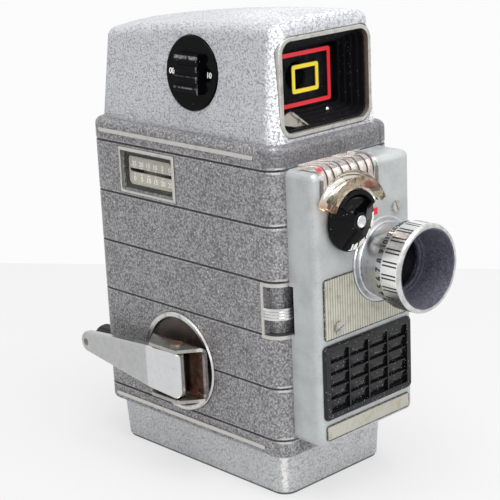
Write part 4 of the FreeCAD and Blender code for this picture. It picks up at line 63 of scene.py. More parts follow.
def shade(code: str) -> Colour:
    """Linear colour of a display colour written as six hex digits.

    A channel c becomes c / 12.92 up to 0.04045, and ((c + 0.055) / 1.055) to the power 2.4 above.

    Args:
        code: Red, green and blue, two hex digits each.

    Returns:
        The colour in linear light, with full alpha.
    """
    parts = np.array([int(code[i:i + 2], 16) for i in (0, 2, 4)]) / 255
    linear = np.where(parts <= 0.04045, parts / 12.92, ((parts + 0.055) / 1.055) ** 2.4)
    return (*linear.tolist(), 1.0)


def toned(code: str, share: float, lift: float = 0.0) -> Colour:
    """Darker or lighter kind of a display colour: its linear channels times a share, plus a lift."""
    return tuple(channel * share + lift for channel in shade(code)[:3]) + (1.0,)


def corners(node: str) -> tuple[np.ndarray, np.ndarray]:
    """Lowest and highest corner of a rigid piece, in metres."""
    low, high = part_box(node)
    return np.array(low), np.array(high)


def middle(node: str) -> np.ndarray:
    """Middle of a rigid piece's box, in metres."""
    low, high = corners(node)
    return (low + high) / 2


class Graph:
    """Writes the nodes of one material or of one shared effect."""

    def __init__(self, tree: bpy.types.NodeTree) -> None:
        """Takes the tree that the nodes go into."""
        self.tree = tree

    def feed(self, socket: Socket, value: Value) -> None:
        """Joins a socket to another one, or sets its plain value.

        Args:
            socket: Input of a node.
            value: Output of another node, or the plain value.
        """
        if isinstance(value, bpy.types.NodeSocket):
            self.tree.links.new(value, socket)
        else:
            socket.default_value = value

    def put(self, kind: str, values: Mapping[str | int, Value] | None = None,
            **settings: object) -> bpy.types.Node:
        """Adds one shader node.

        Args:
            kind: Node type without its ShaderNode prefix.
            values: What goes into its sockets, by name or number.
            settings: Properties of the node itself.

        Returns:
            The new node.
        """
        node = self.tree.nodes.new("ShaderNode" + kind)
        for name, setting in settings.items():
            setattr(node, name, setting)
        for key, value in (values or {}).items():
            self.feed(node.inputs[key], value)
        return node

    def math(self, operation: str, first: Value, second: Value = 0.0) -> Socket:
        """Result of one sum on two numbers."""
        return self.put("Math", {0: first, 1: second}, operation=operation).outputs[0]

    def plus(self, first: Value, second: Value) -> Socket:
        """Two numbers added."""
        return self.math("ADD", first, second)

    def minus(self, first: Value, second: Value) -> Socket:
        """First number less the second."""
        return self.math("SUBTRACT", first, second)

    def times(self, first: Value, second: Value) -> Socket:
        """Two numbers multiplied."""
        return self.math("MULTIPLY", first, second)

    def inverse(self, value: Value) -> Socket:
        """One less a number, which turns a mask round."""
        return self.minus(1.0, value)

    def clamped(self, value: Value) -> Socket:
        """Number held between nought and one."""
        return self.put("Clamp", {0: value}).outputs[0]

    def vector(self, operation: str, first: Value, second: Value = (0, 0, 0)) -> Socket:
        """Result of one sum on two vectors."""
        node = self.put("VectorMath", {0: first, 1: second}, operation=operation)
        return node.outputs["Value" if operation in ("LENGTH", "DOT_PRODUCT") else "Vector"]

    def scaled(self, vector: Value, factor: Value) -> Socket:
        """Vector times a number."""
        return self.put("VectorMath", {0: vector, "Scale": factor}, operation="SCALE").outputs[0]

    def measured(self, vector: Value, unit: Value) -> Socket:
        """Vector counted in units of a size: the vector times one over the size."""
        return self.scaled(vector, self.math("DIVIDE", 1.0, unit))

    def mix(self, factor: Value, first: Value, second: Value) -> Socket:
        """Colour between two colours."""
        return self.put("Mix", {0: factor, 6: first, 7: second}, data_type="RGBA").outputs[2]

    def between(self, factor: Value, first: Value, second: Value) -> Socket:
        """Number between two numbers."""
        return self.put("Mix", {0: factor, 2: first, 3: second}, data_type="FLOAT").outputs[0]

    def around(self, factor: Value, value: float, first: float, second: float) -> Socket:
        """Number between a value plus one amount and the same value plus another."""
        return self.between(factor, value + first, value + second)

    def cover(self, under: Value, code: str, mask: Value, amount: Value = 1.0) -> Socket:
        """Lays a display colour over another colour, as far as a mask times an amount."""
        return self.mix(self.times(mask, amount), under, shade(code))

    def ramp(self, value: Value, low: float, high: float, smooth: bool = True) -> Socket:
        """Nought below the low value and one above the high one, with a change between.

        Args:
            value: What is looked at.
            low: The low value.
            high: The high value.
            smooth: Whether the change is S-shaped rather than straight.

        Returns:
            The number between nought and one.
        """
        return self.put("MapRange", {"Value": value, "From Min": low, "From Max": high},
                        interpolation_type="SMOOTHSTEP" if smooth else "LINEAR",
                        clamp=True).outputs[0]

    def noise(self, vector: Value, scale: float = 1.0, detail: float = 2.0,
              roughness: float = 0.55) -> Socket:
        """Cloudy value about one half at each place, with some finer layers of the given strength."""
        return self.put("TexNoise", {"Vector": vector, "Scale": scale, "Detail": detail,
                                     "Roughness": roughness}).outputs[0]

    @cached_property
    def place(self) -> Socket:
        """Place on the object, in metres, in the model's own frame."""
        return self.put("TexCoord").outputs["Object"]

    def axes(self, vector: Value) -> tuple[Socket, Socket, Socket]:
        """The three numbers of a vector."""
        return tuple(self.put("SeparateXYZ", {0: vector}).outputs)

    def about(self, place: Value, centre: Value, axis: Value) -> tuple[Socket, Socket]:
        """Distance from an axis and place along it.

        The place along it is the dot product of the offset and the axis. The distance is the length of
        what is left of the offset without that.

        Args:
            place: Place that is measured.
            centre: Point on the axis.
            axis: Direction of the axis, of length one.

        Returns:
            The distance and the place along the axis, in metres.
        """
        offset = self.vector("SUBTRACT", place, centre)
        along = self.vector("DOT_PRODUCT", offset, axis)
        flat = self.vector("SUBTRACT", offset, self.scaled(axis, along))
        return self.vector("LENGTH", flat), along

    def bump(self, height: Value, depth: float) -> Socket:
        """Normal of a surface raised by a height of one to the given depth."""
        return self.put("Bump", {"Height": height, "Distance": depth}).outputs[0]

    def effect(self, effect: "Effect", **values: Value) -> Sockets:
        """Puts a shared effect at the place on the object and gives its outputs by name.

        Args:
            effect: Which effect.
            values: What goes into its other inputs.

        Returns:
            The effect's outputs.
        """
        node = self.tree.nodes.new("ShaderNodeGroup")
        node.node_tree = effect.tree()
        for name, value in {"Vector": self.place, **values}.items():
            self.feed(node.inputs[name], value)
        return {socket.name: socket for socket in node.outputs}

    def specks(self, size: float, share: float) -> Socket:
        """Mask of scattered dots, of a given size and in a given share of the places."""
        return self.effect(Effect.SPECKS, Size=size, Share=share)["Mask"]

    def surface(self, **values: Value) -> Socket:
        """Adds the surface shader, given its sockets with underscores for spaces in their names."""
        return self.put("BsdfPrincipled", {name.replace("_", " "): value
                                           for name, value in values.items()}).outputs[0]


def blank_graph(owner: bpy.types.Material | bpy.types.World) -> Graph:
    """Turns on and clears the nodes of a material or of the world.

    Args:
        owner: The material or world.

    Returns:
        The graph that writes its nodes.
    """
    owner.use_nodes = True
    owner.node_tree.nodes.clear()
    return Graph(owner.node_tree)


def linked(name: str, data: bpy.types.ID) -> bpy.types.Object:
    """Makes an object and links it to the scene.

    Args:
        name: Its name.
        data: Its mesh, curve, lamp or camera.

    Returns:
        The new object.
    """
    made = bpy.data.objects.new(name, data)
    bpy.context.scene.collection.objects.link(made)
    return made


def draw_grain(graph: Graph, given: Sockets) -> dict[str, Socket]:
    """Hammered paint: bumps, high in the middle of random cells, plus a cloudy noise.

    The height is half the noise plus half of one less the distance to a cell's middle. The dents are
    thin lines, the borders of larger cells, kept where a second noise is high, and they lower it. The
    tone is one half plus the height's change from its mean times the contrast.

    Args:
        graph: Where the nodes go.
        given: The effect's inputs by name.

    Returns:
        The effect's outputs by name.
    """
    mean, half = 0.53, 0.5
    spread = graph.measured(given["Vector"], given["Size"])
    cloud = graph.noise(spread, scale=0.9, roughness=0.6)
    shift = graph.put("TexNoise", {"Vector": spread, "Scale": 0.8}).outputs["Color"]
    warped = graph.vector("ADD", spread, graph.scaled(shift, 1.1))
    cells = graph.put("TexVoronoi", {"Vector": warped, "Scale": 0.8, "Smoothness": 0.35},
                      feature="SMOOTH_F1").outputs["Distance"]
    both = graph.plus(graph.times(cloud, half), graph.times(graph.inverse(cells), half))
    tone = graph.plus(graph.times(graph.minus(both, mean), given["Contrast"]), half)
    border = graph.put("TexVoronoi", {"Vector": warped, "Scale": 0.38},
                       feature="DISTANCE_TO_EDGE").outputs["Distance"]
    line = graph.inverse(graph.ramp(border, 0.03, 0.2))
    dents = graph.times(line, graph.ramp(graph.noise(spread, scale=0.5), 0.44, 0.58))
    return {"Tone": graph.clamped(tone), "Height": graph.minus(both, graph.times(dents, half)),
            "Dents": dents}


def draw_ragged_band(graph: Graph, given: Sockets) -> dict[str, Socket]:
    """Ragged band along an edge: nearness to the edge, less a cloudy noise, cut off softly.

    Args:
        graph: Where the nodes go.
        given: The effect's inputs by name.

    Returns:
        The effect's outputs by name.
    """
    ragged = graph.noise(graph.measured(given["Vector"], given["Size"]), detail=3.0, roughness=0.6)
    near = graph.clamped(graph.inverse(graph.math("DIVIDE", given["Distance"], given["Width"])))
    left = graph.minus(graph.times(near, given["Amount"]), graph.times(ragged, 0.8))
    return {"Mask": graph.ramp(left, 0.0, 0.22)}


def draw_specks(graph: Graph, given: Sockets) -> dict[str, Socket]:
    """Scattered small dots: the middle of each random cell, kept in a given share of the cells.

    Args:
        graph: Where the nodes go.
        given: The effect's inputs by name.

    Returns:
        The effect's outputs by name.
    """
    spread = graph.measured(given["Vector"], given["Size"])
    cell = graph.put("TexVoronoi", {"Vector": spread, "Scale": 1.0}, feature="F1")
    chance = graph.put("SeparateColor", {0: cell.outputs["Color"]}).outputs[0]
    kept = graph.math("LESS_THAN", chance, given["Share"])
    dot = graph.inverse(graph.ramp(cell.outputs["Distance"], 0.14, 0.3))
    return {"Mask": graph.times(kept, dot)}


def fine_lines(graph: Graph, spread: Socket, detail: float) -> dict[str, Socket]:
    """Tool marks: a fine noise as the height, and its middle part drawn out as the tone."""
    fine = graph.noise(spread, detail=detail, roughness=0.7)
    return {"Tone": graph.ramp(fine, 0.3, 0.7, smooth=False), "Height": fine}


def draw_brushed(graph: Graph, given: Sockets) -> dict[str, Socket]:
    """Fine parallel scratches: a noise drawn out along the direction with the smallest stretch."""
    return fine_lines(graph, graph.vector("MULTIPLY", given["Vector"], given["Stretch"]), 4.0)


def draw_turned(graph: Graph, given: Sockets) -> dict[str, Socket]:
    """Lathe marks: a noise that changes only with the distance from an axis and along it.

    Args:
        graph: Where the nodes go.
        given: The effect's inputs by name.

    Returns:
        The effect's outputs by name.
    """
    radius, along = graph.about(given["Vector"], given["Centre"], given["Axis"])
    point = graph.put("CombineXYZ", {0: radius, 1: along}).outputs[0]
    return fine_lines(graph, graph.measured(point, given["Pitch"]), 3.0)


@dataclass(frozen=True)
class Recipe:
    """Name, inputs, outputs and drawing of one shared effect."""

    name: str
    vectors: tuple[str, ...]
    numbers: tuple[str, ...]
    outputs: tuple[str, ...]
    draw: Callable[[Graph, Sockets], dict[str, Socket]]


class Effect(Enum):
    """Surface effects that several finishes share."""

    GRAIN = Recipe("Paint grain", ("Vector",), ("Size", "Contrast"), ("Tone", "Height", "Dents"),
                   draw_grain)
    RAGGED_BAND = Recipe("Ragged edge band", ("Vector",), ("Size", "Distance", "Width", "Amount"), ("Mask",),
                  draw_ragged_band)
    SPECKS = Recipe("Dust specks", ("Vector",), ("Size", "Share"), ("Mask",), draw_specks)
    BRUSHED = Recipe("Brushed lines", ("Vector", "Stretch"), (), ("Tone", "Height"), draw_brushed)
    TURNED = Recipe("Turned lines", ("Vector", "Centre", "Axis"), ("Pitch",), ("Tone", "Height"),
                    draw_turned)

    def tree(self) -> bpy.types.NodeTree:
        """Node group of this effect, drawn the first time it is asked for.

        Returns:
            The shader node group.
        """
        recipe = self.value
        made = bpy.data.node_groups.get(recipe.name)
        if made is not None:
            return made
        made = bpy.data.node_groups.new(recipe.name, "ShaderNodeTree")
        for names, way, kind in ((recipe.vectors, "INPUT", "NodeSocketVector"),
                                 (recipe.numbers, "INPUT", "NodeSocketFloat"),
                                 (recipe.outputs, "OUTPUT", "NodeSocketFloat")):
            for name in names:
                made.interface.new_socket(name=name, in_out=way, socket_type=kind)
        graph = Graph(made)
        entry = made.nodes.new("NodeGroupInput")
        leave = made.nodes.new("NodeGroupOutput")
        drawn = recipe.draw(graph, {socket.name: socket for socket in entry.outputs[:-1]})
        for name in recipe.outputs:
            graph.feed(leave.inputs[name], drawn[name])
        return made


@dataclass(frozen=True)
class Edge:
    """Line or plane along which a surface is worn or stained, or along which painted shade or a
    painted highlight lies. Its sizes are in millimetres.

    A coordinate left out doesn't count, and x counts on both sides of the middle plane.
    """

    x: float | None = None
    y: float | None = None
    z: float | None = None
    width: float = 1.2
    amount: float = 1.0
    soft: float = 0.4
    colour: str = "8a857c"

    def near(self, graph: Graph) -> Socket:
        """The amount inside the width, less towards its border, and nought outside.

        Args:
            graph: Where the nodes go.

        Returns:
            The mask.
        """
        width = self.width * MM
        outside = graph.ramp(self.distance(graph), width * (1 - self.soft), width)
        return graph.times(graph.inverse(outside), self.amount)

    def distance(self, graph: Graph) -> Socket:
        """Distance from the line or plane: root of the sum of the squares of what counts.

        Args:
            graph: Where the nodes go.

        Returns:
            The distance in metres.
        """
        x, y, z = graph.axes(graph.place)
        total: Value = 0.0
        for value, at in ((graph.math("ABSOLUTE", x), self.x), (y, self.y), (z, self.z)):
            if at is not None:
                offset = graph.minus(value, at * MM)
                total = graph.plus(graph.times(offset, offset), total)
        return graph.math("SQRT", total)


@dataclass(frozen=True)
class Finish:
    """What every finish has: the name of its material and its main display colour."""

    name: str
    colour: str

    def material(self) -> bpy.types.Material:
        """Material of this finish, drawn the first time it is asked for.

        Returns:
            The material.
        """
        made = bpy.data.materials.get(self.name)
        if made is None:
            made = bpy.data.materials.new(self.name)
            graph = blank_graph(made)
            graph.put("OutputMaterial", {"Surface": self.draw(graph)})
        return made

    def draw(self, graph: Graph) -> Socket:
        """Draws the finish into its material and gives the output of its shader."""
        raise NotImplementedError

    @staticmethod
    def stained(graph: Graph, colour: Socket, edges: Sequence[Edge],
                mottled: Value = 1.0) -> Socket:
        """Lays the colour of each edge along it: nearness to the edge, times a mottled mask. The bands
        are real stain marks on some pieces, and on others painted shade, painted highlights and
        painted reflections.

        Args:
            graph: Where the nodes go.
            colour: Colour so far.
            edges: The edges.
            mottled: What breaks the bands up.

        Returns:
            The colour with the bands.
        """
        for edge in edges:
            colour = graph.cover(colour, edge.colour, edge.near(graph), mottled)
        return colour


@dataclass(frozen=True, kw_only=True)
class Paint(Finish):
    """Base of the paints: the lighter colour of worn paint and of painted highlights, and the edges
    along which it lies in ragged bands.
    """

    roughness: float
    metallic: float
    # worn is the colour of the edge bands: of worn paint, and of painted highlights.
    worn: str
    rub_and_light: float = 1.0
    wear_and_light_size: float = 0.9 * MM
    edges: tuple[Edge, ...] = ()

    def rubbed_and_lit(self, graph: Graph, colour: Socket) -> Socket:
        """Lays ragged bands of the worn colour along the paint's edges: worn paint along some edges, a
        painted highlight along others.

        Args:
            graph: Where the nodes go.
            colour: Colour so far.

        Returns:
            The colour with the bands.
        """
        for edge in self.edges:
            mask = graph.effect(Effect.RAGGED_BAND, Size=self.wear_and_light_size, Distance=edge.distance(graph),
                                Width=edge.width * MM, Amount=edge.amount)["Mask"]
            colour = graph.cover(colour, self.worn, mask, self.rub_and_light)
        return colour


@dataclass(frozen=True)
class Grooves:
    """Pressed grooves, one above the other at an even pitch, darkened inside by dirt and painted
    shade, with lips that are partly worn and partly a painted highlight.

    At their ends, near one edge of the casing, the lips are worn bare.
    """

    low: float
    ends: Edge
    pitch: float = 17.5 * MM
    half: float = 0.45 * MM
    bare: str = "e2e1dd"
    grime_and_shade_amount: float = 0.75
    floor_roughness: float = 0.75
    wall_start: float = 0.55
    wall_stop: float = 1.05
    lip_place: float = 1.25
    lip_width: float = 0.42 * MM
    lip_grain: float = 2.4 * MM
    lip_reach: float = 0.8
    lip_wear_and_highlight: float = 0.3

    def draw(self, graph: Graph, paint: "Enamel", colour: Socket,
             rough: Socket) -> tuple[Socket, Socket]:
        """Dirt and painted shade inside each groove, and lips beside it that are partly worn and
        partly a painted highlight.

        The height above the lowest groove, folded back and forth over the pitch, is the distance from
        the nearest groove's middle. Walls and lips lie at shares of half a groove's width.

        Args:
            graph: Where the nodes go.
            paint: The paint round the grooves.
            colour: Paint's colour so far.
            rough: Paint's roughness so far.

        Returns:
            Colour and roughness with the grooves.
        """
        height = graph.minus(graph.axes(graph.place)[2], self.low)
        away = graph.math("PINGPONG", height, self.pitch / 2)
        outside = graph.ramp(away, self.half * self.wall_start, self.half * self.wall_stop)
        inside = graph.inverse(outside)
        # Painted shade, with dirt, darkens the inside of each groove.
        colour = graph.cover(colour, paint.grime_and_shade, inside, self.grime_and_shade_amount)
        lip = graph.math("ABSOLUTE", graph.minus(away, self.half * self.lip_place))
        mask = graph.effect(Effect.RAGGED_BAND, Size=self.lip_grain, Distance=lip, Width=self.lip_width,
                            Amount=self.lip_reach)["Mask"]
        # The lips: partly worn paint, partly a painted highlight.
        colour = graph.cover(colour, paint.worn, mask, self.lip_wear_and_highlight)
        bare = graph.ramp(graph.minus(self.half * 1.3, lip), 0.0, self.half * 0.5)
        bare = graph.times(bare, graph.inverse(inside))
        colour = graph.cover(colour, self.bare, bare, self.ends.near(graph))
        return colour, graph.between(inside, rough, self.floor_roughness)


@dataclass(frozen=True, kw_only=True)
class Enamel(Paint):
    """Textured stoving enamel: hammered on the casing, finely wrinkled on the castings."""

    dark: str
    grain: float
    contrast: float
    relief: float
    grime_and_shade: str = "343235"
    dents: float = 0.35
    patch_scale: float = 90.0
    patch_share: float = 0.5
    chip: str = "efeee8"
    chip_size: float = 0.9 * MM
    chip_share: float = 0.0035
    shaded: tuple[Edge, ...] = ()
    grooves: Grooves | None = None

    def draw(self, graph: Graph) -> Socket:
        """Mottles the paint, lays its bands of painted shade, darkens the pressed grooves with dirt
        and painted shade, and lays worn paint and painted highlights along its edges.

        The tone is the grain's own plus a share of wide patches.

        Args:
            graph: Where the nodes go.

        Returns:
            The shader's output.
        """
        grain = graph.effect(Effect.GRAIN, Size=self.grain, Contrast=self.contrast)
        patches = graph.minus(graph.noise(graph.place, self.patch_scale), 0.5)
        tone = graph.plus(grain["Tone"], graph.times(patches, self.patch_share))
        colour = graph.mix(tone, shade(self.dark), shade(self.colour))
        # Painted shade in the bands of the shaded edges.
        colour = self.stained(graph, colour, self.shaded)
        rough = graph.around(grain["Tone"], self.roughness, 0.08, -0.06)
        if self.grooves is not None:
            colour, rough = self.grooves.draw(graph, self, colour, rough)
        # Worn paint and painted highlights along the edges.
        colour = self.rubbed_and_lit(graph, colour)
        colour = graph.cover(colour, self.grime_and_shade, grain["Dents"], self.dents)
        colour = graph.cover(colour, self.chip, graph.specks(self.chip_size, self.chip_share))
        return graph.surface(Base_Color=colour, Roughness=rough, Metallic=self.metallic,
                             Normal=graph.bump(grain["Height"], self.relief))


@dataclass(frozen=True, kw_only=True)
class SmoothPaint(Paint):
    """Smooth satin paint with a faint flow texture, and edges lightened by wear and by a painted
    highlight.
    """

    roughness: float = 0.36
    metallic: float = 0.25
    worn: str = "e4e4e0"
    rub_and_light: float = 0.7
    wear_and_light_size: float = 4.0 * MM
    darkest: float = 0.76
    relief: float = 0.02 * MM
    spot: str = "55524e"
    spot_size: float = 0.8 * MM
    spot_share: float = 0.004
    spot_amount: float = 0.6

    def draw(self, graph: Graph) -> Socket:
        """Varies the paint a little, and lightens its edges with worn paint and a painted highlight.

        The tone is 0.7 of a wide cloud plus half of a fine one.

        Args:
            graph: Where the nodes go.

        Returns:
            The shader's output.
        """
        clouds = graph.noise(graph.place, scale=160.0, detail=3.0)
        fine = graph.noise(graph.place, scale=2600.0, detail=1.0)
        tone = graph.plus(graph.times(clouds, 0.7), graph.times(fine, 0.5))
        colour = graph.mix(graph.ramp(tone, 0.35, 0.75), toned(self.colour, self.darkest),
                           shade(self.colour))
        colour = self.rubbed_and_lit(graph, colour)
        spots = graph.specks(self.spot_size, self.spot_share)
        colour = graph.cover(colour, self.spot, spots, self.spot_amount)
        rough = graph.around(clouds, self.roughness, -0.06, 0.1)
        return graph.surface(Base_Color=colour, Roughness=rough, Metallic=self.metallic,
                             Normal=graph.bump(fine, self.relief))


class Tooling(Enum):
    """How a metal piece was worked."""

    BRUSHED = "brushed"
    TURNED = "turned"
    POLISHED = "polished"


@dataclass(frozen=True)
class Metal(Finish):
    """Bare metal with tool marks, smudges, tarnish and stain marks, and on some pieces painted shade.
    """

    roughness: float
    tooling: Tooling = Tooling.POLISHED
    stretch: Point = (6000.0, 60.0, 6000.0)
    centre: Point = (0.0, 0.0, 0.0)
    axis: Point = (0.0, 1.0, 0.0)
    pitch: float = 0.35 * MM
    smudge: float = 2.2 * MM
    relief: float = 0.004 * MM
    tarnish: str = "6d675f"
    tarnish_share: float = 0.25
    pits: float = 0.01
    pit_size: float = 0.55 * MM
    pit_colour: str = "4a4540"
    darkest: float = 0.8
    # Inside the bore radius, and behind the bore's front, the colour is a near black painted shade and
    # the surface is not metal.
    bore: float = 0.0
    bore_front: float = -1.0
    bore_edge: float = 0.06 * MM
    painted_shade_colour: str = "1a1a1d"
    stains_and_painted_light: tuple[Edge, ...] = ()
    stain_and_light_low: float = 0.55

    def draw(self, graph: Graph) -> Socket:
        """Lays tool marks, cloudy tarnish, a few pits, stain marks and painted shade over the metal.

        Args:
            graph: Where the nodes go.

        Returns:
            The shader's output.
        """
        marks = self.marks(graph)
        clouds = graph.noise(graph.place, scale=420.0, detail=4.0, roughness=0.65)
        tarnish = graph.times(graph.ramp(clouds, 0.5, 0.72), self.tarnish_share)
        colour = graph.mix(marks["Tone"], toned(self.colour, self.darkest), shade(self.colour))
        colour = graph.cover(colour, self.tarnish, tarnish)
        colour = graph.cover(colour, self.pit_colour, graph.specks(self.pit_size, self.pits))
        rough = graph.around(marks["Tone"], self.roughness, 0.07, -0.04)
        rough = graph.plus(rough, graph.times(tarnish, 0.35))
        mottled = graph.between(graph.ramp(clouds, 0.35, 0.6), self.stain_and_light_low, 1.0)
        # Bands of stain, and of painted shade where a finish has it.
        colour = self.stained(graph, colour, self.stains_and_painted_light, mottled)
        metal: Value = 1.0
        # Painted shade: near black inside the bore radius.
        if self.bore:
            metal = self.outside_painted_shade(graph)
            colour = graph.mix(metal, shade(self.painted_shade_colour), colour)
        return graph.surface(Base_Color=colour, Roughness=rough, Metallic=metal,
                             Normal=graph.bump(marks["Height"], self.relief))

    def marks(self, graph: Graph) -> Sockets:
        """Tool marks of the way the piece was worked.

        Args:
            graph: Where the nodes go.

        Returns:
            Tone and height of the marks.
        """
        if self.tooling is Tooling.BRUSHED:
            return graph.effect(Effect.BRUSHED, Stretch=self.stretch)
        if self.tooling is Tooling.TURNED:
            return graph.effect(Effect.TURNED, Centre=self.centre, Axis=self.axis,
                                Pitch=self.pitch)
        return graph.effect(Effect.GRAIN, Size=self.smudge, Contrast=2.0)

    def outside_painted_shade(self, graph: Graph) -> Socket:
        """One outside the bore's painted shade, and in front of the bore's start.

        The distance from the axis is cut off at the bore's radius. The place along the axis is
        cut off at the bore's front, and the greater of both counts.

        Args:
            graph: Where the nodes go.

        Returns:
            The mask.
        """
        radius, along = graph.about(graph.place, self.centre, self.axis)
        outside = graph.ramp(radius, self.bore - self.bore_edge, self.bore + self.bore_edge)
        return graph.math("MAXIMUM", outside, graph.math("LESS_THAN", along, self.bore_front))


@dataclass(frozen=True)
class Moulded(Finish):
    """Opaque plastic or japanned metal, with dust and faint moulding texture."""

    roughness: float
    dust: float = 0.012
    dust_size: float = 0.5 * MM
    dust_amount: float = 0.7
    dust_colour: str = "a9a6a0"
    shine: float = 0.5
    relief: float = 0.006 * MM
    grain: float = 0.5 * MM
    mottle: float = 0.35
    lift: float = 0.002
    painted_highlights: tuple[Edge, ...] = ()

    def draw(self, graph: Graph) -> Socket:
        """Gives the plastic its texture, its dust and the painted highlights along its ribs.

        Args:
            graph: Where the nodes go.

        Returns:
            The shader's output.
        """
        grain = graph.effect(Effect.GRAIN, Size=self.grain, Contrast=2.4)
        colour = graph.mix(grain["Tone"], shade(self.colour),
                           toned(self.colour, 1 + self.mottle, self.lift))
        dust = graph.specks(self.dust_size, self.dust)
        colour = graph.cover(colour, self.dust_colour, dust, self.dust_amount)
        # Painted highlights along the ribs, broken up by a noise.
        broken = graph.ramp(graph.noise(graph.place, scale=600.0), 0.3, 0.6)
        colour = self.stained(graph, colour, self.painted_highlights, broken)
        smears = graph.noise(graph.place, scale=260.0, detail=3.0)
        rough = graph.around(smears, self.roughness, -0.08, 0.12)
        return graph.surface(Base_Color=colour, Roughness=rough, Specular_IOR_Level=self.shine,
                             Normal=graph.bump(grain["Height"], self.relief))


@dataclass(frozen=True)
class Clear(Finish):
    """Clear moulding or glass that lets light through to what lies behind it."""

    roughness: float
    refraction: float
    clearness: float = 1.0
    haze: float = 0.9
    stains_and_painted_light: tuple[Edge, ...] = ()

    def draw(self, graph: Graph) -> Socket:
        """Colours the clear piece and lets shadow rays pass through its tint.

        Args:
            graph: Where the nodes go.

        Returns:
            The shader's output.
        """
        haze = graph.noise(graph.place, scale=700.0, detail=3.0)
        colour = graph.mix(graph.ramp(haze, 0.45, 0.8), shade(self.colour),
                           toned(self.colour, self.haze))
        # Bands of stain colour, and of painted reflections where a finish has them.
        colour = self.stained(graph, colour, self.stains_and_painted_light)
        rough = graph.between(haze, self.roughness * 0.5, self.roughness * 1.6)
        clear = graph.surface(Base_Color=colour, Roughness=rough, IOR=self.refraction,
                              Transmission_Weight=self.clearness)
        through = graph.put("BsdfTransparent", {0: colour}).outputs[0]
        shadow = graph.put("LightPath").outputs["Is Shadow Ray"]
        return graph.put("MixShader", {0: shadow, 1: clear, 2: through}).outputs[0]


@dataclass(frozen=True)
class Ink(Finish):
    """Printed or filled colour, thin in places."""

    thin: str
    roughness: float = 0.45
    gap: float = 0.3

    def draw(self, graph: Graph) -> Socket:
        """Breaks the ink up where it is rubbed.

        Args:
            graph: Where the nodes go.

        Returns:
            The shader's output.
        """
        cloud = graph.noise(graph.place, scale=2400.0, detail=3.0, roughness=0.6)
        colour = graph.cover(shade(self.colour), self.thin, graph.ramp(cloud, 0.52, 0.75), self.gap)
        return graph.surface(Base_Color=colour, Roughness=self.roughness)


@dataclass(frozen=True)
class AgedCard(Finish):
    """Pale card under a clear cover, with grey-green and pink stain clouds."""

    grey: str = "9a9e90"
    pink: str = "b98f90"
    pink_shift: Point = (0.3, 0.1, 0.2)
    streak: str = "6f6a63"
    streak_stretch: Point = (260.0, 900.0, 1500.0)

    def draw(self, graph: Graph) -> Socket:
        """Lays clouds of both stain colours and some dark streak lines over the card.

        Args:
            graph: Where the nodes go.

        Returns:
            The shader's output.
        """
        shifted = graph.vector("ADD", graph.place, self.pink_shift)
        grey = graph.ramp(graph.noise(graph.place, 420.0, 3.0, 0.6), 0.42, 0.62)
        pink = graph.ramp(graph.noise(shifted, 520.0, 3.0, 0.6), 0.52, 0.7)
        lines = graph.effect(Effect.BRUSHED, Stretch=self.streak_stretch)["Height"]
        colour = graph.cover(shade(self.colour), self.grey, grey, 0.9)
        colour = graph.cover(colour, self.pink, pink, 0.6)
        colour = graph.cover(colour, self.streak, graph.ramp(lines, 0.56, 0.7), 0.7)
        return graph.surface(Base_Color=colour, Roughness=graph.between(grey, 0.35, 0.55))


@dataclass(frozen=True)
class PrintedPlate(Finish):
    """Pale enamelled sheet with an outline near its border and fine upright lines."""

    line: str
    pitch: float
    line_share: float
    centre: np.ndarray
    half: np.ndarray
    line_amount: float = 0.8
    border: float = 0.5 * MM
    border_colour: str = "2c2a28"
    stain: str = "98927c"

    def draw(self, graph: Graph) -> Socket:
        """Draws ground, lines, outline and stain clouds of the plate.

        A line lies where x, folded back and forth over the pitch, is small. The outline lies where the
        smaller of the distances to the upright and to the level border is small.

        Args:
            graph: Where the nodes go.

        Returns:
            The shader's output.
        """
        x, _, z = graph.axes(graph.place)
        stroke = self.pitch * self.line_share
        across = graph.math("PINGPONG", x, self.pitch / 2)
        drawn = graph.inverse(graph.ramp(across, stroke * 0.35, stroke * 0.65))
        cloud = graph.noise(graph.place, scale=300.0, detail=4.0, roughness=0.65)
        colour = graph.cover(shade(self.colour), self.stain, graph.ramp(cloud, 0.45, 0.75))
        colour = graph.cover(colour, self.line, drawn, self.line_amount)
        inset = graph.math("MINIMUM", *(
            graph.minus(float(self.half[axis]), graph.math("ABSOLUTE", graph.minus(
                value, float(self.centre[axis])))) for axis, value in ((0, x), (2, z))))
        outline = graph.inverse(graph.ramp(inset, self.border * 0.6, self.border))
        ragged = graph.ramp(graph.noise(graph.place, scale=1800.0), 0.25, 0.5)
        colour = graph.cover(colour, self.border_colour, outline, ragged)
        return graph.surface(Base_Color=colour, Roughness=graph.between(cloud, 0.3, 0.5),
                             Metallic=0.1)


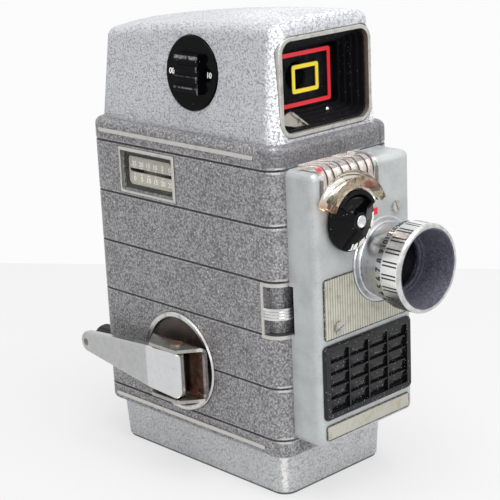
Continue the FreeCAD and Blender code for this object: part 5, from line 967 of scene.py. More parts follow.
class Part:
    """Base of the sub-assemblies: dresses rigid pieces and adds new ones."""

    made: ClassVar[list[str]] = []

    @staticmethod
    def dress(finish: Finish, *nodes: str) -> None:
        """Gives rigid pieces a finish.

        Args:
            finish: The finish.
            nodes: Names of the pieces.
        """
        material = finish.material()
        for node in nodes:
            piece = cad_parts[node]
            if not piece.material_slots:
                piece.data.materials.append(material)
            for slot in piece.material_slots:
                slot.material = material
            LOG.info("dressed %s with %s", node, finish.name)

    @staticmethod
    def add(name: str, solid: Solid, finish: Finish, slot: str, body: str = "camera",
            smooth: bool = False) -> None:
        """Makes a piece from points and faces and fixes it to a body.

        Args:
            name: Name of the piece.
            solid: Its points, in metres, and its faces.
            finish: Its finish.
            slot: Material slot of the record that it belongs to; not used.
            body: Body that it moves with.
            smooth: Whether its faces are shaded as one curved surface.
        """
        points, faces = solid
        mesh = bpy.data.meshes.new(name)
        mesh.from_pydata(points.tolist(), [], faces)
        mesh.validate()
        mesh.polygons.foreach_set("use_smooth", np.full(len(mesh.polygons), smooth))
        mesh.materials.append(finish.material())
        mesh.update()
        piece = linked(name, mesh)
        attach(piece, body)
        Part.made.append(name)
        LOG.info("made %s with %d faces", name, len(mesh.polygons))


def loft(rings: np.ndarray, closed: bool = True) -> Solid:
    """Solid between rings of points: quads from ring to ring and a cap on each end.

    Args:
        rings: Array of rings, of the points in a ring, of three coordinates.
        closed: Whether the last ring is capped rather than joined to the first.

    Returns:
        Points and faces.
    """
    count, sides = rings.shape[:2]
    index = np.arange(count * sides).reshape(count, sides)
    after = np.roll(index, -1, axis=0)
    quads = np.stack([index, np.roll(index, -1, axis=1), np.roll(after, -1, axis=1), after], axis=2)
    faces = quads[:count - closed].reshape(-1, 4).tolist()
    if closed:
        faces += [index[0][::-1].tolist(), index[-1].tolist()]
    return rings.reshape(-1, 3), faces


def ribbon(path: np.ndarray, outward: np.ndarray, width: np.ndarray | float,
           thickness: float) -> Solid:
    """Flat strip along a path: a rectangle of the given width and thickness at each point.

    Args:
        path: Points of the middle line on the surface it lies on.
        outward: Direction away from that surface at each point.
        width: Width, one value or one for each point.
        thickness: Thickness, upwards from the path.

    Returns:
        Points and faces.
    """
    tangent = np.gradient(path, axis=0)
    tangent /= np.linalg.norm(tangent, axis=1, keepdims=True)
    side = np.cross(tangent, outward) * np.broadcast_to(np.asarray(width) / 2, len(path))[:, None]
    rise = outward * thickness
    return loft(np.stack([path - side, path - side + rise, path + side + rise, path + side], axis=1))


def join(parts: Sequence[Solid]) -> Solid:
    """Several meshes as one: their points in a row, and their faces renumbered.

    Args:
        parts: Points and faces of each.

    Returns:
        Points and faces of all.
    """
    faces, start = [], 0
    for points, some in parts:
        faces += [[number + start for number in face] for face in some]
        start += len(points)
    return np.concatenate([points for points, _ in parts]), faces


def digits(text: str, height: float, depth: float, bold: float = 0.035) -> Solid:
    """Plain figures as a thin solid, centred, reading along x with their tops along y.

    Args:
        text: The figures.
        height: Height of a figure.
        depth: Thickness, from z of nought upwards.
        bold: How far the strokes are thickened, as a share of the height.

    Returns:
        Points and faces.
    """
    figure_share = 0.7
    curve = bpy.data.curves.new("figures", "FONT")
    curve.body = text
    curve.align_x = "CENTER"
    curve.align_y = "CENTER"
    curve.size = height / figure_share
    curve.resolution_u = 3
    curve.offset = height * bold
    curve.extrude = depth / 2
    holder = linked("figures", curve)
    bpy.context.view_layer.update()
    mesh = bpy.data.meshes.new_from_object(holder.evaluated_get(
        bpy.context.evaluated_depsgraph_get()))
    points = np.empty(len(mesh.vertices) * 3)
    mesh.vertices.foreach_get("co", points)
    points = points.reshape(-1, 3)
    points[:, 2] += depth / 2
    points[:, :2] -= (points[:, :2].max(0) + points[:, :2].min(0)) / 2
    faces = [list(face.vertices) for face in mesh.polygons]
    bpy.data.objects.remove(holder)
    bpy.data.meshes.remove(mesh)
    bpy.data.curves.remove(curve)
    return points, faces


def laid(flat: Solid, at: Sequence[float], right: Sequence[float],
         upward: Sequence[float]) -> Solid:
    """Flat solid moved onto a plane, its z along the plane's outward direction.

    Args:
        flat: Solid with x to the right and y up.
        at: Where its middle goes.
        right: Direction of x.
        upward: Direction of y.

    Returns:
        Points and faces.
    """
    across = np.asarray(right, float) / np.linalg.norm(right)
    along = np.asarray(upward, float) / np.linalg.norm(upward)
    turn = np.stack([across, along, np.cross(across, along)])
    return flat[0] @ turn + np.asarray(at, float), flat[1]


# Finishes of the camera's pieces. Edges are in millimetres.

# The bands along the casing's front and rear vertical corners are a painted highlight, and the one
# along its bottom edge is wear. The shaded band is painted shade on the front strip above the panel,
# under the finder housing. The grooves are darkened by dirt and painted shade, and their lips are
# partly worn and partly a painted highlight.
HAMMERED = Enamel(
    name="hammered casing enamel", colour="a9a8a9", dark="646366", grain=0.56 * MM, contrast=3.0,
    roughness=0.36, metallic=0.3, relief=0.16 * MM, worn="bcbdbf",
    edges=(Edge(x=25.3, y=-42.5, width=2.6, amount=0.42),
           Edge(x=25.3, y=42.5, width=2.6, amount=0.42), Edge(z=14.7, amount=0.5)),
    shaded=(Edge(y=-44.2, z=113.0, width=7.0, amount=0.5, colour="58575a"),),
    grooves=Grooves(20.8 * MM, Edge(x=24.6, y=-43.2, width=3.4, amount=0.4, soft=0.6)))
# The wide band along the housing's front vertical edges is a painted highlight; the band along its top
# rim is wear.
SILVER = Enamel(
    name="wrinkled silver enamel", colour="cacbcf", dark="b0b2b7", grain=0.4 * MM, contrast=1.8,
    roughness=0.38, metallic=0.25, relief=0.3 * MM, worn="f0f1f4", rub_and_light=0.85, dents=0.75,
    grime_and_shade="808187", edges=(Edge(x=22.0, y=-41.5, width=8.0, amount=0.9),
                           Edge(z=152.0, width=5.0, amount=0.5)))
FOOT_SILVER = Enamel(
    name="wrinkled foot enamel", colour="cfd0d2", dark="a6a7aa", grain=0.46 * MM, contrast=2.0,
    roughness=0.42, metallic=0.3, relief=0.11 * MM, worn="e0dfdc",
    edges=(Edge(x=22.6, y=-39.6, width=2.6, amount=0.85),))
# The lighter bands along the panel's front edges are partly worn paint and partly a painted highlight.
PANEL_PAINT = SmoothPaint(
    name="satin panel paint", colour="afb3b3",
    edges=(Edge(x=21.9, y=-55.85, amount=0.5), Edge(y=-55.85, z=108.3, width=1.6, amount=0.8),
           Edge(y=-55.85, z=20.8, width=1.4, amount=0.7)))

TRIM_METAL = Metal("bright trim metal", "d2d0cc", roughness=0.36, tooling=Tooling.BRUSHED,
                   tarnish="8d877b", tarnish_share=0.3)
BEZEL_METAL = Metal("worn bezel metal", "cbc9c4", roughness=0.42, relief=0.06 * MM,
                    tarnish="77726c", tarnish_share=0.55, pits=0.16)
KEY_RING_METAL = Metal("key ring metal", "d8d8d7", roughness=0.24, tooling=Tooling.TURNED,
                       centre=(0.0, 3.4 * MM, 37.4 * MM), axis=(1.0, 0.0, 0.0), tarnish="66615a",
                       tarnish_share=0.4)
CHROME = Metal("worn chrome", "c9cacb", roughness=0.2, relief=0.01 * MM, tarnish="8a857c",
               pits=0.05)
BRIGHT_CHROME = Metal("bright chrome", "e3e3e2", roughness=0.14, relief=0.02 * MM,
                      tarnish="9b978f", tarnish_share=0.3, pits=0.02)
CLIP_STEEL = Metal("creased clip steel", "b9b5ad", roughness=0.22, relief=0.05 * MM,
                   tarnish="6a5f54", tarnish_share=0.8, pits=0.05)
# The first band is painted shade: a darker rear part of the handle, from y of about 8 to 52 mm, with a
# sharp step. The second is a dark dimple near its tip.
HANDLE_CHROME = Metal(
    "handle chrome", "d6d7d8", roughness=0.2, relief=0.006 * MM, tarnish="a09d97",
    tarnish_share=0.15, pits=0.02, darkest=0.95, stain_and_light_low=0.85,
    stains_and_painted_light=(Edge(y=30.0, width=22.3, amount=0.5, soft=0.05, colour="8c8b8a"),
            Edge(y=43.2, z=37.4, width=1.6, amount=0.9, colour="5f564e")))
STEEL = Metal("plain steel", "bdbcb8", roughness=0.34, tooling=Tooling.BRUSHED)
SCREW_STEEL = Metal("worn screw steel", "cac8c4", roughness=0.24, relief=0.03 * MM,
                    tarnish="6a655f", tarnish_share=0.6, pits=0.08)
DARK_STEEL = Metal("dull dark steel", "77756f", roughness=0.5, tarnish="4d4640",
                   tarnish_share=0.6, pits=0.06)
DISC_STEEL = Metal("spotted disc steel", "625c59", roughness=0.42, tarnish="6e4a36",
                   tarnish_share=0.9, pits=0.3, pit_colour="9a5c3a")
BRACKET_STEEL = Metal(
    "stained bracket steel", "b4b2ac", roughness=0.28, tarnish="837466", tarnish_share=0.6,
    pits=0.12, pit_colour="5b3424",
    stains_and_painted_light=(Edge(x=29.3, width=3.4, amount=0.9, colour="6f4636"),
            Edge(y=-12.7, width=1.3, amount=0.9, soft=0.2, colour="d2d0cb")))
COPPER = Metal("copper rivet metal", "a8a49c", roughness=0.34, tarnish="6d5f50", tarnish_share=0.4,
               stains_and_painted_light=(Edge(x=33.9, y=-3.3, width=1.7, soft=0.2, colour="c26f46"),))
BRASS = Metal("gear brass", "c6a457", roughness=0.28, tooling=Tooling.TURNED,
              centre=(0.0, 1.1 * MM, 60.0 * MM), axis=(1.0, 0.0, 0.0), tarnish="7d6534",
              tarnish_share=0.3)
ALUMINIUM = Metal("satin aluminium", "bcbcba", roughness=0.36, tooling=Tooling.BRUSHED,
                  stretch=(3000.0, 3000.0, 60.0), tarnish="85837d")

PLAIN_BLACK = Moulded("black moulding", "1b1b1d", roughness=0.42, shine=0.3)
GLOSS_BLACK = Moulded("polished black moulding", "040406", roughness=0.1, shine=0.12)
# The light bands along the grip's ribs, and the upright line at its front end, are painted highlights.
GRIP_BLACK = Moulded(
    "ribbed black moulding", "030305", roughness=0.12, shine=0.07, painted_highlights=tuple(
        Edge(x=x, y=y, z=z, width=width, amount=amount, soft=0.7, colour=colour)
        for x, y, z, width, amount, colour in (
            (24.9, None, 139.4, 0.75, 0.75, "9a9aa0"), (24.8, None, 137.6, 0.4, 0.6, "77777d"),
            (25.2, None, 133.4, 0.35, 0.4, "66666c"), (25.6, None, 129.9, 0.4, 0.6, "84848a"),
            (25.8, None, 127.9, 0.4, 0.5, "77777d"), (25.2, -10.0, None, 0.5, 0.6, "8b8b91"))))
CELL_BLACK = Moulded("black cell moulding", "0a0a0d", roughness=0.18, shine=0.35, dust=0.15,
                     dust_colour="cbc3bf", relief=0.03 * MM, mottle=1.0)
MATT_BLACK = Moulded("matt black paint", "09090d", roughness=0.6, shine=0.15, dust=0.06,
                     dust_colour="a3a1a6")
TUNNEL_BLACK = Moulded("finder tunnel paint", "030304", roughness=0.9, shine=0.0, dust=0.0)
HOOD_BLACK = Moulded("dusty hood paint", "3c3c47", roughness=0.5, shine=0.45, dust=0.3,
                     dust_colour="a9a8af", grain=0.7 * MM, mottle=1.3)
DRUM_DARK = Moulded("counter drum", "4d4a44", roughness=0.5)
MASK_DARK = Moulded("counter mask", "25221f", roughness=0.35, shine=0.4)

RED = Ink("red frame paint", "e0202f", thin="b81a28", roughness=0.4)
YELLOW = Ink("yellow frame paint", "f2d935", thin="d0b02c", roughness=0.4)
WHITE_INK = Ink("white figures", "f2efe9", thin="b9b5ab")
BLACK_INK = Ink("black figures", "1d1a18", thin="5d5750", gap=0.5)
MAROON_INK = Ink("dark red lines", "35141c", thin="80404a", gap=0.4)
RED_INK = Ink("red mark", "d3202f", thin="9a2c34")
GREEN_INK = Ink("green mark", "3f8a63", thin="9bb8a6")
COUNTER_GROUND = Ink("counter ground", "bcb6ab", thin="857b6a", gap=0.6)
SCALE_CARD = AgedCard("pale scale card", "d4cfc8")

CLEAR_COVER = Clear("clear cover moulding", "eeebea", roughness=0.06, refraction=1.2,
                    clearness=0.9)
# The amber band at the sector's left end is its yellowing; the red patch near its middle and the pale
# orange one towards its right are painted reflections.
CLEAR_AMBER = Clear(
    "yellowed clear moulding", "e3ddd0", roughness=0.03, refraction=1.36,
    stains_and_painted_light=(Edge(x=19.4, z=96.0, width=6.0, amount=0.9, soft=0.8, colour="b3651f"),
            Edge(x=0.4, z=101.6, width=2.6, amount=0.75, soft=0.8, colour="c24a2a"),
            Edge(x=5.2, z=97.4, width=2.4, amount=0.5, soft=0.8, colour="d8b070")))
PANE = Clear("thin clear pane", "f4f6f5", roughness=0.03, refraction=1.12)
FINDER_PANE = Clear("finder glass", "f2f4f6", roughness=0.01, refraction=1.06)
COATED = Clear("coated lens glass", "b9b9cc", roughness=0.01, refraction=1.25)


@dataclass
class Casing(Part):
    """Upright casing in two halves, its trim strips and the door's hinge."""

    def build(self) -> None:
        """Dresses the casing."""
        self.dress(HAMMERED, "body_shell", "film_door")
        self.dress(TRIM_METAL, "side_trim", "door_trim")
        self.dress(DARK_STEEL, "hinge_leaf")


@dataclass
class Foot(Part):
    """Foot casting with its bottom plate, screws and threaded bush."""

    thread_radius: float = 3.0 * MM
    thread_root: float = 0.02 * MM
    thread_depth: float = 0.35 * MM
    thread_pitch: float = 1.27 * MM
    thread_half: float = 0.42
    thread_start: float = 0.7 * MM
    thread_turns: int = 5
    thread_sides: int = 40

    def build(self) -> None:
        """Dresses the foot and cuts the thread of its bush."""
        self.dress(FOOT_SILVER, "base_casting")
        self.dress(DARK_STEEL, "base_plate")
        self.dress(STEEL, "base_screws", "tripod_bush")
        self.thread()

    def thread(self) -> None:
        """Thread ridge: a three-cornered section carried along a helix inside the bush.

        A corner lies at its radius times cosine and sine of the angle, and rises by the pitch with
        each turn. The section's half width is a share of the pitch.
        """
        angle = np.linspace(0, 2 * math.pi * self.thread_turns,
                            self.thread_turns * self.thread_sides + 1)
        rise = self.thread_start + self.thread_pitch * angle / (2 * math.pi)
        root = self.thread_radius + self.thread_root
        crest = self.thread_radius - self.thread_depth
        half = self.thread_pitch * self.thread_half
        rings = np.stack([
            np.stack([radius * np.cos(angle), radius * np.sin(angle), rise + shift], axis=1)
            for radius, shift in ((root, half), (crest, 0.0), (root, -half))], axis=1)
        self.add("tripod_thread", loft(rings), STEEL, "steel")


@dataclass(frozen=True)
class DialFigure:
    """One figure on the film-speed dial.

    It lies forwards of the dial's middle by aside and above its face by stand, both in metres. A turn
    of 1 reads forwards and one of -1 backwards.
    """

    name: str
    text: str
    turn: int
    aside: float
    stand: float
    height: float


@dataclass
class FinderHousing(Part):
    """Finder housing with its window, frames, tunnel, eyepiece and film-speed dial."""

    tunnel_sides: int = 48
    tunnel_steps: int = 14
    tunnel_wall: float = 0.8 * MM
    tunnel_square: float = 0.3
    tunnel_front_gap: float = 0.1 * MM
    tunnel_eye_gap: float = 1.4 * MM
    tunnel_eye_room: float = 0.2 * MM
    rivet_radius: float = 0.9 * MM
    rivet_dome: float = 0.6
    rivet_reach: float = 0.9
    rivet_shape: tuple[int, int] = (5, 16)
    rivet_x: float = 7.4 * MM
    rivet_back: float = 5.7 * MM
    rivet_rise: float = 2.9 * MM
    dial_slope: float = math.radians(4.6)
    dial_centre: Point = (-22.11 * MM, -4.8 * MM, 134.1 * MM)
    dial_ink: float = 0.06 * MM
    dial_rows: tuple[DialFigure, ...] = (
        DialFigure("speed_dial_figure", "100", -1, -8.6 * MM, 0.6 * MM, 1.8 * MM),
        DialFigure("speed_window_figure", "10", 1, 8.15 * MM, 0.1 * MM, 1.7 * MM))

    def build(self) -> None:
        """Dresses the housing and adds tunnel, rivet and the dial's figures."""
        self.dress(SILVER, "top_housing")
        self.dress(BEZEL_METAL, "finder_bezel")
        self.dress(MATT_BLACK, "finder_baffle")
        self.dress(FINDER_PANE, "finder_glass", "eyepiece_lens")
        self.dress(RED, "finder_wide_frame")
        self.dress(YELLOW, "finder_narrow_frame")
        self.dress(CLIP_STEEL, "finder_clip")
        self.dress(PLAIN_BLACK, "eyepiece")
        self.dress(GRIP_BLACK, "film_speed_dial")
        self.tunnel()
        self.rivet()
        self.dial_figures()

    def tunnel(self) -> None:
        """Black tube from the finder glass to the eyepiece.

        A section is a superellipse: cosine and sine of an angle, each raised to a power that
        runs from 0.3, nearly a rectangle, to 1, a circle.
        """
        _, baffle_high = corners("finder_baffle")
        lens_low, lens_high = corners("eyepiece_lens")
        glass_low, glass_high = corners("finder_glass")
        centre = middle("finder_glass")
        eye = (lens_high[0] - lens_low[0]) / 2 + self.tunnel_eye_room
        start, stop = baffle_high[1] + self.tunnel_front_gap, lens_low[1] - self.tunnel_eye_gap
        angle = np.linspace(0, 2 * math.pi, self.tunnel_sides, endpoint=False)
        share = np.linspace(0, 1, self.tunnel_steps)[:, None]
        power = self.tunnel_square + (1 - self.tunnel_square) * share
        walls = []
        for grow in (0.0, self.tunnel_wall):
            x, z = (np.sign(wave) * np.abs(wave) ** power
                    * ((glass_high - glass_low)[axis] / 2 * (1 - share) + eye * share + grow)
                    for axis, wave in ((0, np.cos(angle)), (2, np.sin(angle))))
            y = np.broadcast_to(start + (stop - start) * share, x.shape)
            walls.append(np.stack([x + centre[0], y, z + centre[2]], axis=2))
        self.add("finder_tunnel", loft(np.concatenate([walls[0][::-1], walls[1]]), closed=False),
                 TUNNEL_BLACK, "black_paint", smooth=True)

    def rivet(self) -> None:
        """Bright rivet head on the lower step of the baffle: a dome of rings of cosine radius."""
        low, _ = corners("finder_baffle")
        at = np.array([self.rivet_x, low[1] + self.rivet_back, low[2] + self.rivet_rise])
        steps, sides = self.rivet_shape
        angle = np.linspace(0, 2 * math.pi, sides, endpoint=False)
        rise = np.linspace(0, math.pi / 2 * self.rivet_reach, steps)[:, None]
        radius = self.rivet_radius * np.cos(rise)
        y = np.broadcast_to(-self.rivet_radius * self.rivet_dome * np.sin(rise), (steps, sides))
        rings = np.stack([radius * np.cos(angle), y, radius * np.sin(angle)], axis=2) + at
        self.add("finder_rivet", loft(rings[:, ::-1]), BRIGHT_CHROME, "chrome", smooth=True)

    def dial_figures(self) -> None:
        """Plain figures on the film-speed dial: one by its edge and one in its small window.

        Outward is the direction away from the dial, which leans back by its slope.
        """
        outward = np.array([-math.cos(self.dial_slope), 0, math.sin(self.dial_slope)])
        forward = np.array([0.0, -1.0, 0.0])
        upward = np.cross(outward, forward)
        for row in self.dial_rows:
            flat = digits(row.text, row.height, self.dial_ink)
            at = self.dial_centre + forward * row.aside + outward * row.stand
            self.add(row.name, laid(flat, at, forward * row.turn, upward * row.turn), WHITE_INK,
                     "gloss_black", "film_speed_dial")


@dataclass
class FrontPanel(Part):
    """Front casting with the window of the light cell and its two plates."""

    pinstripe: float = 1.1 * MM

    def build(self) -> None:
        """Dresses the panel and its plates, each outlined inside its own box."""
        self.dress(PANEL_PAINT, "front_panel")
        self.dress(CELL_BLACK, "cell_window")
        self.dress(SCREW_STEEL, "front_screws")
        for name, node, ground, line, share in (
                ("pinstriped plate", "upper_plate", "b3b2a7", "757262", 0.36),
                ("plain plate", "lower_plate", "a8a69d", "979487", 0.05)):
            low, high = corners(node)
            self.dress(PrintedPlate(name, ground, line, self.pinstripe, share, (low + high) / 2,
                                    (high - low) / 2), node)


@dataclass
class ExposureGauge(Part):
    """Exposure dial, light meter, and the clear cover with the scale under it."""

    line_places: tuple[float, ...] = (-16.5, -13.45, -9.6, -5.9, -2.45, 1.1, 3.9)
    line_width: float = 0.62 * MM
    line_foot: float = -2.2 * MM
    line_head: float = 11.0 * MM
    line_steps: int = 34
    swing: float = 110.0
    swing_start: float = 4.8 * MM
    sink: float = 0.06 * MM
    print_stand: float = 0.012 * MM
    cover_rounding: float = 4.2 * MM
    cover_rows: tuple[tuple[str, float, float], ...] = (
        ("5 10", -6.6, -47.6), ("20 40", 0.6, -47.6), ("8", -10.6, -51.6), ("16", -3.9, -51.6),
        ("25", 2.2, -51.6))
    cover_figure: float = 1.05 * MM
    cover_ink: float = 0.05 * MM
    cover_ink_sink: float = 0.035 * MM
    card_rounding: float = 2.2 * MM
    card_gap: float = 0.06 * MM
    card_sheet: float = 0.2 * MM
    card_foot: float = -5.4 * MM
    card_head: float = 10.2 * MM
    card_margin: float = 3.4 * MM
    dial_steps: tuple[str, ...] = ("16", "11", "8", "5.6", "4", "2.8", "2")
    dial_start: float = -92.0
    dial_stop: float = -16.0
    dial_neck: float = 2.85 * MM
    dial_slope: float = 3.3 / 6.8
    figure_radius: float = 8.3 * MM
    figure_height: float = 2.0 * MM
    figure_ink: float = 0.07 * MM
    figure_stand: float = 0.02 * MM
    arc_radius: float = 9.43 * MM
    arc_width: float = 0.28 * MM
    red_x: float = 5.35 * MM
    red_ends: tuple[float, float] = (90.6 * MM, 92.8 * MM)
    red_width: float = 1.7 * MM
    red_sheet: float = 0.12 * MM
    white_radius: float = 8.7 * MM
    white_ends: tuple[float, float] = (-15.0, 4.0)
    white_width: float = 1.8 * MM
    white_sheet: float = 0.09 * MM

    def build(self) -> None:
        """Dresses the gauge and prints its scale, figures and marks."""
        self.dress(CLEAR_COVER, "exposure_scale_window")
        self.dress(CLEAR_AMBER, "clear_sector")
        self.dress(GLOSS_BLACK, "exposure_dial")
        self.dress(CHROME, "exposure_dial_hub")
        self.dress(PLAIN_BLACK, "meter_movement", "meter_needle")
        self.card()
        self.lines()
        self.cover_figures()
        self.cover_marks()
        self.dial_figures()
        self.indexes()

    def profile(self, front: float, top: float, rounding: float,
                along: np.ndarray) -> tuple[np.ndarray, np.ndarray, np.ndarray]:
        """Profile of the cover: up its front, round a quarter circle and back over its top.

        On the circle the angle is the distance over the radius. A distance below nought goes down the
        front, and one past the circle's end goes back over the top.

        Args:
            front: Place of the front face along y.
            top: Height of the top face.
            rounding: Radius of the quarter circle.
            along: Distances along the profile, nought where the front meets the circle.

        Returns:
            The y, the z and the outward direction at each distance.
        """
        angle = np.clip(along / rounding, 0, math.pi / 2)
        past = np.maximum(along - rounding * math.pi / 2, 0)
        below = np.minimum(along, 0)
        y = front + rounding * (1 - np.cos(angle)) + past
        z = top - rounding * (1 - np.sin(angle)) + below
        outward = np.stack([np.zeros_like(angle), -np.cos(angle), np.sin(angle)], axis=1)
        return y, z, outward

    def printed(self, x: np.ndarray | float, along: np.ndarray,
                width: np.ndarray | float) -> Solid:
        """Strip printed on the cover, sunk a little into it: y and z of the profile at a given x.

        Args:
            x: Place of its middle line along X.
            along: Distances along the profile.
            width: Its width, one value or one for each distance.

        Returns:
            Points and faces.
        """
        low, high = corners("exposure_scale_window")
        y, z, outward = self.profile(low[1] + self.sink, high[2] - self.sink,
                                     self.cover_rounding - self.sink, along)
        path = np.stack([np.broadcast_to(x, y.shape), y, z], axis=1)
        return ribbon(path, outward, width, self.sink + self.print_stand)

    def cone(self, radius: float, angle: np.ndarray) -> tuple[np.ndarray, np.ndarray]:
        """Places on the dial's cone and the directions away from it.

        A place lies at the radius times cosine and sine of the angle about the hub, and further back
        by the slope times what the radius is over the neck's. Its outward direction has the slope
        times cosine, minus one and the slope times sine, and length one.

        Args:
            radius: Distance from the hub's axis.
            angle: Angles from +X towards +Z.

        Returns:
            Places and directions, one row each.
        """
        centre = middle("exposure_dial_hub")
        face, _ = corners("exposure_dial")
        depth = face[1] + self.dial_slope * (radius - self.dial_neck)
        path = np.stack([centre[0] + radius * np.cos(angle), np.full_like(angle, depth),
                         centre[2] + radius * np.sin(angle)], axis=1)
        outward = np.stack([self.dial_slope * np.cos(angle), -np.ones_like(angle),
                            self.dial_slope * np.sin(angle)], axis=1)
        return path, outward / np.linalg.norm(outward, axis=1, keepdims=True)

    def card(self) -> None:
        """Pale printed card inside the cover, in the opening of the panel.

        It follows the panel's own profile, of front, rounding and top, a gap and its sheet inside it.
        """
        low, high = corners("exposure_scale_window")
        panel_low, panel_high = corners("front_panel")
        along = np.concatenate([[self.card_foot],
                                np.linspace(0, self.card_rounding * math.pi / 2, 12),
                                [self.card_head]])
        inset = self.card_gap + self.card_sheet
        y, z, outward = self.profile(panel_low[1] + inset, panel_high[2] - inset,
                                     self.card_rounding - inset, along)
        path = np.stack([np.full_like(y, (low[0] + high[0]) / 2), y, z], axis=1)
        self.add("exposure_scale_card",
                 ribbon(path, outward, high[0] - low[0] - self.card_margin, self.card_sheet),
                 SCALE_CARD, "beige_plate")

    def lines(self) -> None:
        """Dark lines of the scale over the cover's rounding.

        A line keeps its x until the top face and then swings to the left with the square of
        the distance. Its width is greatest in the middle and runs out at both ends.
        """
        along = np.linspace(self.line_foot, self.line_head, self.line_steps)
        swing = self.swing * np.maximum(along - self.swing_start, 0) ** 2
        share = (along - along[0]) / (along[-1] - along[0])
        width = self.line_width * np.interp(share, (0, 0.15, 0.5, 0.8, 1), (0.35, 0.9, 1, 0.7, 0.4))
        self.add("exposure_scale_lines",
                 join([self.printed(place * MM - swing, along, width)
                       for place in self.line_places]), MAROON_INK, "clear_plastic")

    def cover_figures(self) -> None:
        """Two rows of small figures on the top face of the cover."""
        top = corners("exposure_scale_window")[1][2] - self.cover_ink_sink
        self.add("exposure_scale_figures",
                 join([laid(digits(text, self.cover_figure, self.cover_ink),
                            (x * MM, y * MM, top), (1, 0, 0), (0, 1, 0))
                       for text, x, y in self.cover_rows]), MAROON_INK, "clear_plastic")

    def cover_marks(self) -> None:
        """Red mark at the left end of the scale and green one at its right end."""
        for name, finish, x, first, last, wide in (
                ("scale_mark_red", RED_INK, -18.0, 3.4, 4.9, 1.7),
                ("scale_mark_green", GREEN_INK, 5.5, 0.6, 2.2, 0.45)):
            along = np.linspace(first * MM, last * MM, 8)
            self.add(name, self.printed(x * MM, along, wide * MM), finish, "clear_plastic")

    def dial_figures(self) -> None:
        """Plain figures round the lower rim of the dial's cone, and a thin arc outside them."""
        angles = np.radians(np.linspace(self.dial_start, self.dial_stop, len(self.dial_steps)))
        flats = []
        for text, angle, at, outward in zip(self.dial_steps, angles,
                                            *self.cone(self.figure_radius, angles)):
            upward = -np.array([math.cos(angle), self.dial_slope, math.sin(angle)])
            flats.append(laid(digits(text, self.figure_height, self.figure_ink, bold=0.085),
                              at + outward * self.figure_stand, np.cross(upward, outward), upward))
        sweep = np.radians(np.linspace(self.dial_start - 12, self.dial_start + 40, 20))
        flats.append(ribbon(*self.cone(self.arc_radius, sweep), self.arc_width, self.figure_ink))
        self.add("exposure_dial_figures", join(flats), WHITE_INK, "gloss_black", "exposure_dial")

    def indexes(self) -> None:
        """Red index on the panel beside the dial, and the white one on the dial's own rim."""
        front = corners("front_panel")[0][1] + self.figure_stand
        path = np.array([[self.red_x, front, z] for z in self.red_ends])
        self.add("index_red", ribbon(path, np.tile([0.0, -1.0, 0.0], (2, 1)), self.red_width,
                                     self.red_sheet), RED_INK, "red_paint")
        sweep = np.radians(np.linspace(*self.white_ends, 8))
        self.add("index_white", ribbon(*self.cone(self.white_radius, sweep), self.white_width,
                                       self.white_sheet), WHITE_INK, "gloss_black",
                 "exposure_dial")


@dataclass
class LensUnit(Part):
    """Lens with its flared barrel, ribbed ring and black hood."""

    centre: Point = (7.9 * MM, 0.0, 75.9 * MM)
    bore: float = 10.9 * MM
    groove_floor: float = 13.95 * MM
    ring_front: float = -73.6 * MM
    figures: tuple[str, ...] = ("1", "2", "3", "4", "5", "6", "7", "8", "9", "10", "12", "15",
                                "20", "25", "30", "50")
    figures_radius: float = 13.4 * MM
    figures_y: float = -66.0 * MM
    figures_height: float = 1.9 * MM
    figures_ink: float = 0.05 * MM
    figures_sink: float = 0.01 * MM
    first_angle: float = 246.0
    figures_step: float = -12.0

    def build(self) -> None:
        """Dresses the lens and engraves plain figures round the barrel."""
        # Both pieces get painted shade, near black, inside a radius: in the barrel's bore, and in the
        # floors of the ring's grooves behind the ring's front.
        barrel = Metal("turned lens aluminium", "d2d4d6", roughness=0.31, tooling=Tooling.TURNED,
                       centre=self.centre, tarnish="77757a", tarnish_share=0.5, bore=self.bore)
        ring = Metal("ribbed ring aluminium", "f9f9f8", roughness=0.29, tooling=Tooling.TURNED,
                     centre=self.centre, tarnish="a3a09b", tarnish_share=0.15, pits=0.05,
                     darkest=0.95, bore=self.groove_floor, bore_front=self.ring_front,
                     stains_and_painted_light=(Edge(y=-74.6, width=0.9, amount=0.7, soft=0.3, colour="a3a19d"),))
        self.dress(barrel, "lens_flange", "lens_barrel")
        self.dress(ring, "lens_ring")
        self.dress(HOOD_BLACK, "lens_hood_cone")
        self.dress(COATED, "lens_front_glass")
        self.engrave()

    def engrave(self) -> None:
        """Figures bent round the barrel.

        The angle is the figure's own less its x over the barrel's radius. Its y goes along the axis,
        and its z is added to the radius.
        """
        flats = []
        for index, text in enumerate(self.figures):
            flat, faces = digits(text, self.figures_height, self.figures_ink, bold=0.06)
            angle = math.radians(self.first_angle + self.figures_step * index)
            turn = angle - flat[:, 0] / self.figures_radius
            radius = self.figures_radius + flat[:, 2] - self.figures_sink
            flats.append((np.stack([self.centre[0] + radius * np.cos(turn),
                                    self.figures_y + flat[:, 1],
                                    self.centre[2] + radius * np.sin(turn)], axis=1), faces))
        self.add("lens_barrel_figures", join(flats), BLACK_INK, "satin_aluminium")


